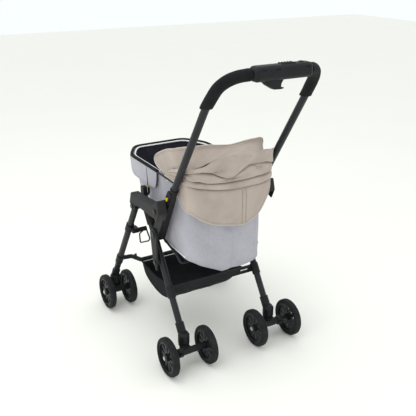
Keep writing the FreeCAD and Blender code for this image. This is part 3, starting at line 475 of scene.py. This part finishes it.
def bag_loop(level, inset, drop=0.0):
    """Ring of the bag's wall, from 0 at the floor to 1 at the rim, moved inward by inset."""
    front = FRONT_LINE(FLOOR_FRONT_HEIGHT + (RIM_HEIGHT - FLOOR_FRONT_HEIGHT) * level)
    reach = (front - BAG_REAR) / (RIM_FRONT - BAG_REAR)
    middle = (BAG_REAR + front) / 2
    ring = []
    for right, rim_ahead in bag_plan:
        ahead = BAG_REAR + (rim_ahead - BAG_REAR) * reach
        right_in = right * (1 - inset / BAG_HALF) * (1 - BAG_TAPER * (1 - min(1, level)))
        ahead_in = middle + (ahead - middle) * (1 - 2 * inset / (front - BAG_REAR))
        floor = FLOOR_LINE(min(ahead_in, FLOOR_FRONT))
        height = floor + (RIM_HEIGHT - floor) * level - drop
        point = place(right_in, ahead_in, height)
        wrinkle = ripple(point, 0.055, 1) * 2.2 + ripple(point, 0.023, 2) * 0.9 - 1.2
        sag = math.sin(math.pi * min(1, level)) * wrinkle
        heading = Vector((-right_in / BAG_HALF, -(ahead_in - middle) / (front - BAG_REAR) * 2, 0.0))
        ring.append(point + heading.normalized() * sag * MM if heading.length > 0.01 else point)
    return ring


def make_bag():
    """Lofted fabric bag with a rounded floor and a dark lining."""
    floor_rings = ((139, 3), (110, 4), (75, 3.5), (45, 2), (24, 0.5))
    corner_rings = ((0.008, 12), (0.03, 4.5), (0.07, 1.2), (0.12, 0.3))
    rings = [bag_loop(0.0, inset, drop) for inset, drop in floor_rings]
    rings += [bag_loop(level, inset) for level, inset in corner_rings]
    rings += [bag_loop(level, 0.0) for level in spread(0.18, 1.0, 18)]
    bag = cloth("bag", rings, FINISHES["bag_fabric"], LINING, thickness=0.0022, closed=True)
    wear(bag, "rear_frame", "bag_fabric", "bag_shell")


RIM_WIRE_CORNERS = [(-100, 514), (-150, 433), (-150, 92), (150, 92), (150, 433), (100, 514)]
RIM_WIRE_RADII = [26, 30, 8, 8, 30, 26]
FLAP_REAR = 224.0


def ahead_of_flaps(ring):
    """The points of a closed ring ahead of the flaps' rear edge, from one side round to the other."""
    front = [point for point in ring if point.y > FLAP_REAR]
    start = max(range(len(front)), key=lambda i: (front[i] - front[i - 1]).length)
    return front[start:] + front[:start]


front_rim = ahead_of_flaps(rounded_loop(RIM_WIRE_CORNERS, RIM_WIRE_RADII, 6.0))


def beside_rim(across, lengthways, drop):
    """The front of the rim wire, scaled across and lengthways and moved down by drop."""
    return [place(p.x * across, BAG_REAR + (p.y - BAG_REAR) * lengthways, RIM_HEIGHT - drop)
            for p in front_rim]


def make_rim_trim():
    """Black binding over the front of the rim wire, a pale stripe inside it and a seam outside it."""
    binding = cord_piece("rim_binding", beside_rim(0.994, 1.0, 0.6), 0.0058, BINDING)
    stripe = cord_piece("rim_stripe", beside_rim(0.937, 0.977, 1.6), 0.0028, PALE_TRIM)
    seam = stitches("rim_seam", beside_rim(1.024, 1.01, 9), GREY_THREAD)
    for piece in (binding, stripe, seam):
        wear(piece, "rear_frame", "bag_fabric")


FLAP_SIDE = through([(224, 153.9), (400, 153.9), (420, 153.2), (432, 151.2), (441, 148.6)])
FLAP_HEM = through([(224, 602), (232, 562), (252, 546), (300, 543), (390, 544), (418, 552), (441, 600)])
FLAP_DROP = 5
FLAP_LEAN = 0.02
FLAP_CENTRE_AHEAD = 0.332
FLAP_CENTRE_HEIGHT = 0.59


def make_flap(side, name):
    """Fabric flap with rounded lower corners that hangs outside the rim.

    It sits close in, so that the reversed handle clears it, and the lock post's face shows through it.
    """
    sign = SIDES[side]
    columns = spread(225, 440, 44)
    rows = []
    for share in spread(0, 1, 14):
        row = []
        for ahead in columns:
            hem = FLAP_HEM(ahead)
            height = RIM_HEIGHT - FLAP_DROP + (hem - RIM_HEIGHT + FLAP_DROP) * share
            depth = RIM_HEIGHT - height
            out = FLAP_SIDE(ahead) - FLAP_LEAN * depth
            point = place(sign * out, ahead, height)
            out += share * (ripple(point, 0.045, 11) * 0.3 + 0.1 * ripple(point, 0.02, 12))
            row.append(place(sign * out, ahead, height))
        rows.append(row)
    flap = cloth(name, rows, FINISHES["bag_fabric"], LINING, thickness=0.0014, flip=sign > 0)
    edge = [row[0] for row in rows] + rows[-1] + [row[-1] for row in reversed(rows)]
    edge = edge[1:-1]
    inset = [p.lerp(Vector((p.x, REAR_AXLE_Y - FLAP_CENTRE_AHEAD, FLAP_CENTRE_HEIGHT)), 0.075)
             + Vector((-sign * 0.0002, 0, 0)) for p in edge]
    hem = cord_piece(name + "_hem", edge, 0.0007, FINISHES["bag_fabric"])
    seam = stitches(name + "_seam", inset, GREY_THREAD)
    for piece in (flap, hem, seam):
        wear(piece, "rear_frame", "bag_fabric")


# ---------------------------------------------------------------- rear skirt

SKIRT_LINE = WrapLine(145.5, 42.0, 34.0)
SKIRT_HEM = through([(-300, 372), (-288, 369), (-254, 368), (-225, 367), (-165, 365), (-127, 356),
                     (-89, 334), (-48, 314), (-34, 307), (-24, 302), (-14, 297), (4, 297), (14, 299),
                     (22, 300), (57, 298), (101, 303), (125, 312), (165, 334), (200, 350), (254, 366),
                     (288, 369), (300, 372)])
SKIRT_TOP = 604.0
SKIRT_REACH = 296
STRIP_END = -150
POCKET = [(21, 0.02), (22, 0.1), (24, 0.22), (25, 0.33), (24, 0.37), (20, 0.42), (10, 0.465), (-4, 0.49),
          (-16, 0.505)]


def skirt_point(along, share, lift=0.0):
    hem = SKIRT_HEM(along)
    height = hem + (SKIRT_TOP - hem) * share
    belly = math.sin(math.pi * min(1.0, share * 1.15)) * (4.0 * (1 - smooth_step(abs(along), 95, 150)))
    point = SKIRT_LINE.point(along, height)
    folds = ripple(point, 0.06, 21) * 1.8 + ripple((point.x, point.y, point.z * 0.45), 0.022, 22) * 0.8
    calm = 1 - 0.75 * smooth_step(abs(along), 150, 210)
    taper = 6.5 * (1 - share) * smooth_step(abs(along), 100, 165)
    return SKIRT_LINE.point(along, height, belly - taper + folds * calm * (1 - share * 0.4) - 0.4 + lift)


def make_skirt():
    """Outer rear panel of the bag, with its hem, the trim on its left side and its stitched seams."""
    columns = spread(-SKIRT_REACH, SKIRT_REACH, 150)
    left_columns = spread(-SKIRT_REACH, STRIP_END, 36)
    rows = [[skirt_point(along, share) for along in columns] for share in spread(0, 1, 26)]
    skirt = cloth("rear_skirt", rows, FINISHES["bag_fabric"], LINING, thickness=0.0016)
    hem = cord_piece("skirt_hem", [skirt_point(along, 0.0, 0.2) for along in columns], 0.0012,
                     FINISHES["bag_fabric"])
    strip_line = [skirt_point(along, 0.012, 0.4) for along in left_columns]
    strip = cord_piece("skirt_strip", strip_line, 0.0021, PALE_TRIM)
    piping_line = [skirt_point(along, -0.012, 0.0) for along in left_columns]
    piping = cord_piece("skirt_piping", piping_line, 0.0030, BINDING)
    hem_seam = stitches("skirt_hem_seam", [skirt_point(along, 0.035, 0.5) for along in columns], GREY_THREAD)
    left_seam = stitches("skirt_left_seam", [skirt_point(-67 - 5 * (1 - t), t * 0.62, 0.5)
                                             for t in spread(0.06, 1, 24)], GREY_THREAD)
    pocket_line = []
    for (a0, s0), (a1, s1) in zip(POCKET, POCKET[1:]):
        pocket_line += [skirt_point(a0 + (a1 - a0) * t, s0 + (s1 - s0) * t, 0.6) for t in spread(0, 0.9, 8)]
    pocket_seam = stitches("skirt_pocket_seam", pocket_line, GREY_THREAD)
    for piece in (skirt, hem, strip, piping, hem_seam, left_seam, pocket_seam):
        wear(piece, "rear_frame", "bag_fabric")


# ---------------------------------------------------------------- hood

HOOD_LINE = WrapLine(152.0, 8.0, 26.0)
HOOD_HEM = through([(-300, 614), (-262, 613), (-236, 611), (-220, 596), (-208, 566), (-188, 546),
                    (-149, 535), (-107, 507), (-63, 485), (-22, 474), (20, 466), (44, 464), (75, 475),
                    (103, 495), (120, 521), (135, 551), (150, 578), (185, 584), (217, 590), (262, 598),
                    (300, 604)])
ROLL_ONE = through([(-300, 616), (-255, 618), (-225, 618), (-188, 620), (-153, 622), (-132, 617),
                    (-110, 611), (-54, 598), (-2, 592), (31, 591), (91, 592), (139, 602), (188, 612),
                    (255, 610), (300, 607)])
ROLL_TWO = through([(-300, 618), (-255, 627), (-177, 638), (-152, 641), (-92, 626), (-33, 618), (28, 617),
                    (90, 621), (137, 624), (188, 630), (255, 621), (300, 610)])
PANEL_LOW = through([(-300, 621), (-255, 637), (-172, 655), (-132, 665), (-92, 659), (-54, 643),
                     (-24, 632), (-3, 633), (27, 650), (57, 660), (111, 661), (150, 652), (188, 646),
                     (255, 631), (300, 613)])
HOOD_TOP = through([(-300, 625), (-255, 647), (-200, 664), (-150, 674), (-106, 678), (-89, 684),
                    (-66, 692), (-42, 698), (-1, 701), (41, 701), (91, 699), (128, 697), (146, 700),
                    (160, 692), (190, 682), (255, 650), (300, 618)])
HOOD_REACH = 300


def hood_profile(along):
    """(outward, height) points up one line of the hood, from its hem over the folds to its inner face."""
    hem, one, two = HOOD_HEM(along), ROLL_ONE(along), ROLL_TWO(along)
    panel, top = PANEL_LOW(along), HOOD_TOP(along)
    bulk = 1 - 0.78 * smooth_step(abs(along), 122, 165)
    tuck = min(1.0, max(0.15, (top - hem) / 90)) * (0.35 + 0.65 * bulk)
    tip = 7.0 * math.exp(-((along - 146) / 14) ** 2)
    apron = one - hem
    plain_apron = [(0.2, hem), (1.5 * bulk, hem + 0.2 * apron), (3.2 * bulk, hem + 0.5 * apron),
                   (3.0 * bulk, hem + 0.78 * apron), (1.0 * bulk, one - 5 * tuck)]
    first_roll = [(-9.0 * tuck, one + 2.0 * tuck), (-6.0 * tuck, one + 5 * tuck),
                  (3.0 * tuck, one + 1.0 * tuck), (7.0 * tuck, one + 2.5 * tuck),
                  (8.5 * tuck, one + 0.4 * (two - one)), (6.5 * tuck, one + 0.75 * (two - one))]
    second_roll = [(-8.0 * tuck, two + 2.0 * tuck), (-5.0 * tuck, two + 4.5 * tuck),
                   (3.5 * tuck, two + 1.0 * tuck), (8.0 * tuck, two + 2.0 * tuck),
                   (9.5 * tuck, two + 0.4 * (panel - two)), (7.5 * tuck, two + 0.8 * (panel - two))]
    upper_panel = [(-7.0 * tuck, panel + 3 * tuck), (-4.0 * tuck, panel + 6 * tuck),
                   (5.5 * tuck, panel + 1.5 * tuck), (10.0 * tuck, panel + 3 * tuck),
                   (9.5 * tuck + tip * 0.2, panel + 0.3 * (top - panel)),
                   (5.5 * tuck + tip * 0.6, panel + 0.7 * (top - panel))]
    upper_edge = [(2.0 * tuck + tip, top - 2), (0.8 + tip, top), (-1.6 + tip * 0.8, top - 1.5),
                  (-4.0, top - 14), (-7.0, top - 34)]
    return plain_apron + first_roll + second_roll + upper_panel + upper_edge


# The middle of a twisted fold, as (along, height).
SWIRL = (88.0, 648.0)
# Creases pressed into the hood, each (along, height, width, tallness, depth).
PINCHES = [(-50.0, 655.0, 34.0, 5.0, 12.0), (-148.0, 658.0, 22.0, 4.5, 7.0), (92.0, 646.0, 22.0, 8.0, 9.0),
           (10.0, 628.0, 60.0, 3.5, 8.0), (-110.0, 634.0, 50.0, 3.5, 6.0), (-176.0, 646.0, 26.0, 3.5, 7.0),
           (-196.0, 632.0, 22.0, 3.0, 6.0), (-128.0, 650.0, 18.0, 3.0, 7.0)]


def hood_point(along, outward, height, lift=0.0):
    point = HOOD_LINE.point(along, height)
    bulk = 1 - 0.85 * smooth_step(abs(along), 118, 160)
    high = smooth_step(height, 590, 640)
    crumple = ripple((point.x, point.y, point.z * 2.2), 0.045, 31) * 4.8
    crumple += ripple((point.x * 1.3, point.y, point.z * 2.6), 0.021, 32) * 2.4
    drape = ripple(point, 0.08, 33) * 1.8 * (1 - high)
    for middle, level, wide, tall, deep in PINCHES:
        outward -= deep * math.exp(-((along - middle) / wide) ** 2 - ((height - level) / tall) ** 2)
    away, rise = along - SWIRL[0], (height - SWIRL[1]) * 1.6
    distance = math.hypot(away, rise)
    twist = math.sin(distance * 0.42 + math.atan2(rise, away))
    outward += 3.5 * twist * math.exp(-(distance / 20) ** 2) * bulk
    return HOOD_LINE.point(along, height, outward + (crumple * high + drape) * (0.15 + 0.85 * bulk) + lift)


def flow(points, steps):
    """Catmull-Rom line through (outward, height) points."""
    line = []
    padded = [points[0], *points, points[-1]]
    for a, b, c, d in zip(padded, padded[1:], padded[2:], padded[3:]):
        for i in range(steps):
            t = i / steps
            line.append(tuple(0.5 * (2 * q + (r - p) * t + (2 * p - 5 * q + 4 * r - s) * t * t
                                     + (3 * q - p - 3 * r + s) * t ** 3)
                              for p, q, r, s in zip(a, b, c, d)))
    line.append(points[-1])
    return line


def make_hood():
    """Folded hood: a plain apron at the back, rolled folds above it and a crumpled upper edge."""
    columns = spread(-HOOD_REACH, HOOD_REACH, 176)
    lines = [flow(hood_profile(along), 3) for along in columns]
    rows = [[hood_point(along, *line[i]) for along, line in zip(columns, lines)]
            for i in range(len(lines[0]))]
    hood = cloth("hood", rows, FINISHES["canopy_fabric"], HOOD_LINING, thickness=0.0012)
    wear(hood, "rear_frame", "canopy_fabric", "canopy")

    def on_apron(along, share):
        profile = flow(hood_profile(along)[:5], 6)
        outward, height = profile[min(len(profile) - 1, int(share * (len(profile) - 1)))]
        return hood_point(along, outward, height, 0.9)

    hem_line = [hood_point(along, 0.4, HOOD_HEM(along)) for along in columns]
    hem_seam_line = [hood_point(along, 0.9, HOOD_HEM(along) + 6.5) for along in columns[20:-20]]
    details = [cord_piece("hood_hem", hem_line, 0.0016, TAUPE_BINDING),
               stitches("hood_hem_seam", hem_seam_line, BROWN_THREAD, radius=0.0004)]
    for number, (low, high) in enumerate(((37, 34), (51, 47))):
        line = [on_apron(low + (high - low) * share, share) for share in spread(0.03, 0.98, 40)]
        details.append(stitches(f"hood_seam_{number}", line, BROWN_THREAD, 0.006, 0.0012, 0.0009))
    for number, low in enumerate((60, 67)):
        line = [hood_point(low - 3 * t, 9.0 - 7.5 * t, 664 + 33 * t, 0.8) for t in spread(0, 1, 16)]
        details.append(stitches(f"hood_upper_seam_{number}", line, BROWN_THREAD, 0.006, 0.0012, 0.0009))
    for piece in details:
        wear(piece, "rear_frame", "canopy_fabric")


VISOR_LINE = WrapLine(146.0, 52.0, 55.0)
VISOR_TOP = through([(-326, 645), (-322, 652), (-313, 661), (-300, 669), (-275, 681), (-235, 698),
                     (-188, 712), (-136, 727), (-106, 730), (-64, 728), (-22, 722), (17, 718), (44, 720),
                     (69, 723), (92, 725), (118, 726), (132, 722), (142, 714), (149, 702), (156, 690),
                     (168, 680), (188, 672), (227, 662), (275, 648), (313, 636), (326, 631)])
VISOR_LOW = through([(-326, 641), (-322, 634), (-313, 628), (-291, 621), (-261, 616), (-227, 607),
                     (-188, 600), (-150, 618), (-110, 668), (-60, 686), (0, 693), (60, 693), (100, 688),
                     (140, 660), (188, 610), (227, 606), (291, 614), (313, 621), (326, 630)])
VISOR_REACH = 326
LOBE_END = -188


def visor_point(along, share, lift=0.0):
    low, top = VISOR_LOW(along), VISOR_TOP(along)
    height = low + (top - low) * share
    shelf = 30.0 * (1 - smooth_step(abs(along), 90, 165)) * (1 - share) ** 1.6
    point = VISOR_LINE.point(along, height)
    soft = ripple(point, 0.07, 41) * 3.0 + ripple(point, 0.03, 42) * 1.4
    soft *= 0.35 + 0.65 * (1 - smooth_step(-along, 150, 230))
    corner_push = 16.0 * math.exp(-((along - 146) / 34) ** 2)
    return VISOR_LINE.point(along, height + soft * 0.3 * share, shelf + corner_push + soft + lift - 1.5)


def make_visor():
    """Stiffer visor of the hood, folded back inside the rim, with a rounded end on each side."""
    columns = spread(-VISOR_REACH, VISOR_REACH, 170)
    rows = [[visor_point(along, share) for along in columns] for share in spread(0, 1, 18)]
    visor = cloth("hood_visor", rows, FINISHES["canopy_fabric"], HOOD_LINING, thickness=0.0022)
    edge = [visor_point(along, 1.0) for along in columns]
    lobe = [visor_point(along, 0.0) for along in columns if along < LOBE_END]
    binding = cord_piece("visor_binding", list(reversed(lobe)) + edge, 0.0019, TAUPE_BINDING)
    seam_line = [visor_point(along, 1 - 8 / max(20, VISOR_TOP(along) - VISOR_LOW(along)), 1.1)
                 for along in spread(-316, 316, 170)]
    seam = stitches("visor_seam", seam_line, BROWN_THREAD, radius=0.0004)
    for piece in (visor, binding, seam):
        wear(piece, "rear_frame", "canopy_fabric")


FULL_TURN = spread(0, 2 * math.pi, 17)
SNAP_RADIUS = 0.003


def make_snaps():
    """Snap fasteners on the hood's left folds and the end of the hood's wire hoop."""
    for number, (ahead, height) in enumerate(((170, 619), (155, 623))):
        centre = place(-150.0, ahead, height)
        ring = [centre + Vector((0.0, math.cos(a) * SNAP_RADIUS, math.sin(a) * SNAP_RADIUS))
                for a in FULL_TURN[:-1]]
        snap = cord_piece(f"hood_snap_{number}", ring, 0.0012, BROWN_THREAD, closed=True)
        wear(snap, "rear_frame", "canopy_fabric")
    hoop = [place(-149.5, 112 - 14 * t, 648 + 3 * math.sin(t * 3)) for t in spread(0, 1, 8)]
    wear(cord_piece("hood_hoop_end", hoop, 0.0032, BINDING), "rear_frame", "plastic_black")


# ---------------------------------------------------------------- basket

BASKET_REAR = 134
BASKET_FRONT = 400
BASKET_LOW = through([(BASKET_REAR, 224), (150, 209), (206, 150), (235, 128), (262, 120), (300, 122),
                      (345, 129), (380, 146), (394, 162), (BASKET_FRONT, 206)])
BASKET_HALF = 139.0


def make_basket():
    """Black fabric sling between the two crossbars, with soft sides and a bound edge."""
    rows = []
    for ahead in [134.5, 137] + spread(143, 390, 40) + [394, 397, 399.5]:
        t = (ahead - BASKET_REAR) / (BASKET_FRONT - BASKET_REAR)
        rim = 225 - 20 * t - 16 * math.sin(math.pi * t)
        low = min(BASKET_LOW(ahead), rim - 0.5)
        row = []
        for angle in spread(-1, 1, 61):
            side = abs(angle)
            reach = BASKET_HALF * min(1.0, side / 0.62)
            rise = smooth_step(side, 0.50, 1.0)
            corner = 1 - 0.06 * (1 - rise) * smooth_step(side, 0.4, 0.62)
            height = low + (rim - low) * rise
            point = place(math.copysign(reach * corner, angle), ahead, height)
            sag = ripple((point.x, point.y * 1.6, point.z), 0.045, 51) * 3.5 + ripple(point, 0.018, 52) * 1.4
            calm = min(1.0, (ahead - BASKET_REAR) / 25, (BASKET_FRONT - ahead) / 14)
            inward = math.copysign(0.4, -angle) * sag * MM * rise
            row.append(point + Vector((inward, 0, sag * MM * (1 - rise))) * calm)
        rows.append(row)
    basket = cloth("basket_sling", rows, FINISHES["basket_fabric"], thickness=0.0016)
    edges = [cord_piece(f"basket_edge_{side}", [row[column] for row in rows], 0.0026, BINDING)
             for side, column in (("left", 0), ("right", -1))]
    for piece in [basket, *edges]:
        wear(piece, "rear_frame", "basket_fabric", *(["basket"] if piece == basket else []))
        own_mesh(piece)


# ---------------------------------------------------------------- foam grips

def make_foam():
    """Foam sleeves on the handle, slightly compressed and rounded at their ends."""
    source = frame["nodes"]["foam_grips"]
    piece = bpy.data.objects.new("foam_sleeves", source.data.copy())
    bpy.context.scene.collection.objects.link(piece)
    piece.data.materials.clear()
    piece.data.materials.append(FINISHES["foam"])
    remesh = piece.modifiers.new("even", "REMESH")
    remesh.mode = "VOXEL"
    remesh.voxel_size = 0.0022
    round_off = piece.modifiers.new("round", "SMOOTH")
    round_off.factor = 0.6
    round_off.iterations = 6
    settle(piece)
    for vertex in piece.data.vertices:
        vertex.co += vertex.normal * (ripple(vertex.co, 0.02, 61) * 0.0006 + 0.0002)
    for polygon in piece.data.polygons:
        polygon.use_smooth = True
    wear(piece, "handle", "foam", "foam_grips")


# ---------------------------------------------------------------- grip unit and lock marks

SCREW_RADIUS = 0.0042


def make_grip_details():
    """Ribs on top of the grip housing and raised screw rings on its rear face."""
    low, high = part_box("grip_housing_top")
    middle = (low.y + high.y) / 2
    crest = high.z
    for number, x in enumerate(spread(-0.034, 0.002, 5)):
        rib = [Vector((x, middle - 0.011 + 0.022 * t, crest + 0.0004)) for t in spread(0, 1, 6)]
        wear(cord_piece(f"grip_rib_{number}", rib, 0.0020, BLACK_PLASTIC), "handle", "plastic_black")
    for number, x in enumerate((-0.072, 0.022, 0.066)):
        ring = [Vector((x + SCREW_RADIUS * math.cos(a), high.y + 0.0002,
                        crest - 0.010 + SCREW_RADIUS * math.sin(a))) for a in FULL_TURN[:-1]]
        screw = cord_piece(f"grip_screw_{number}", ring, 0.0011, BLACK_PLASTIC, closed=True)
        wear(screw, "handle", "plastic_black")


TRIGGER_OUTLINE = [(0.058, 0.968), (0.057, 0.959), (0.048, 0.951), (0.036, 0.944), (0.027, 0.939),
                   (0.006, 0.938), (-0.004, 0.9395), (-0.004, 0.942), (0.005, 0.944), (0.004, 0.953),
                   (-0.002, 0.962), (-0.012, 0.968)]
TRIGGER_HALF = 0.0095


def make_trigger():
    """Hooked fold trigger under the grip, tapering to a lip at its lower right corner."""
    middle = sum(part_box("fold_lever"), Vector()).y / 2
    points = [Vector((x, middle + side, z)) for side in (-TRIGGER_HALF, TRIGGER_HALF)
              for x, z in TRIGGER_OUTLINE]
    count = len(TRIGGER_OUTLINE)
    faces = [tuple(range(count)), tuple(reversed(range(count, 2 * count)))]
    faces += [(i, i + count, (i + 1) % count + count, (i + 1) % count) for i in range(count)]
    trigger = mesh_piece("fold_trigger", points, faces, [BLACK_PLASTIC])
    for polygon in trigger.data.polygons:
        polygon.use_smooth = False
    bevel = trigger.modifiers.new("edges", "BEVEL")
    bevel.width = 0.0012
    bevel.segments = 3
    wear(settle(trigger), "lever", "plastic_black", "fold_lever")


def make_lock_marks():
    """Small yellow mark on each front lock post, below the flap's hem."""
    for side, sign in SIDES.items():
        line = [place(sign * 150.6, 291 + 6 * t, 537.0) for t in spread(0, 1, 5)]
        mark = cord_piece(f"lock_mark_{side}", line, 0.0036, FINISHES["lock_yellow"])
        wear(mark, "rear_frame", "lock_yellow")


make_bag()
make_rim_trim()
for side_name in SIDES:
    make_flap(side_name, f"rim_flap_{side_name}")
make_skirt()
make_hood()
make_visor()
make_snaps()
make_basket()
make_foam()
make_grip_details()
make_trigger()
make_lock_marks()


# ---------------------------------------------------------------- stage, light and camera

def plain_material(name, colour, roughness):
    finish = Finish(name, {"Roughness": roughness, "Specular IOR Level": 0.2})
    finish.colour(finish.ramp(finish.cloud(finish.coordinates(), 2.0), 0.3, colour, 0.7,
                              tuple(min(1.0, c * 1.01) for c in colour)))
    return finish.material


FLOOR_REACH = 9
FLOOR_COLOUR = (0.93, 0.91, 0.86)
WORLD_COLOUR = (0.955, 1.0, 1.0, 1.0)


def make_floor():
    corners = [Vector((x * FLOOR_REACH, y * FLOOR_REACH, 0)) for x, y in ((-1, -1), (1, -1), (1, 1), (-1, 1))]
    floor = mesh_piece("floor", corners, [(0, 1, 2, 3)], [plain_material("floor", FLOOR_COLOUR, 0.85)])


def area_light(name, where, size, power, target=(0.0, 0.0, 0.45)):
    data = bpy.data.lights.new(name, "AREA")
    data.shape = "DISK"
    data.size = size
    data.energy = power
    lamp = bpy.data.objects.new(name, data)
    lamp.location = where
    lamp.rotation_mode = "QUATERNION"
    lamp.rotation_quaternion = (Vector(target) - Vector(where)).to_track_quat("-Z", "Y")
    bpy.context.scene.collection.objects.link(lamp)


def make_light():
    world = bpy.data.worlds.new("studio")
    world.use_nodes = True
    background = world.node_tree.nodes["Background"]
    background.inputs["Color"].default_value = WORLD_COLOUR
    background.inputs["Strength"].default_value = 1.0
    bpy.context.scene.world = world
    area_light("overhead", (0.6, 0.2, 2.9), 2.2, 20.0)
    area_light("side", (2.4, 0.9, 1.6), 1.4, 8.0)
    bpy.context.scene.view_settings.view_transform = "Standard"


CAMERA_PLACE = (0.9804, 1.6668, 1.2657)
CAMERA_TURN = 0.533
CAMERA_DIP = 0.389
CAMERA_ROLL = 0.003
CAMERA_LENS = 54.27


def make_camera():
    data = bpy.data.cameras.new("camera")
    data.sensor_width = 36.0
    data.lens = CAMERA_LENS
    camera = bpy.data.objects.new("camera", data)
    level = math.cos(CAMERA_DIP)
    heading = Vector((-math.sin(CAMERA_TURN) * level, -math.cos(CAMERA_TURN) * level, -math.sin(CAMERA_DIP)))
    camera.location = CAMERA_PLACE
    camera.rotation_mode = "QUATERNION"
    camera.rotation_quaternion = heading.to_track_quat("-Z", "Y") @ Quaternion((0, 0, 1), CAMERA_ROLL)
    bpy.context.scene.collection.objects.link(camera)
    bpy.context.scene.camera = camera


make_floor()
make_light()
make_camera()
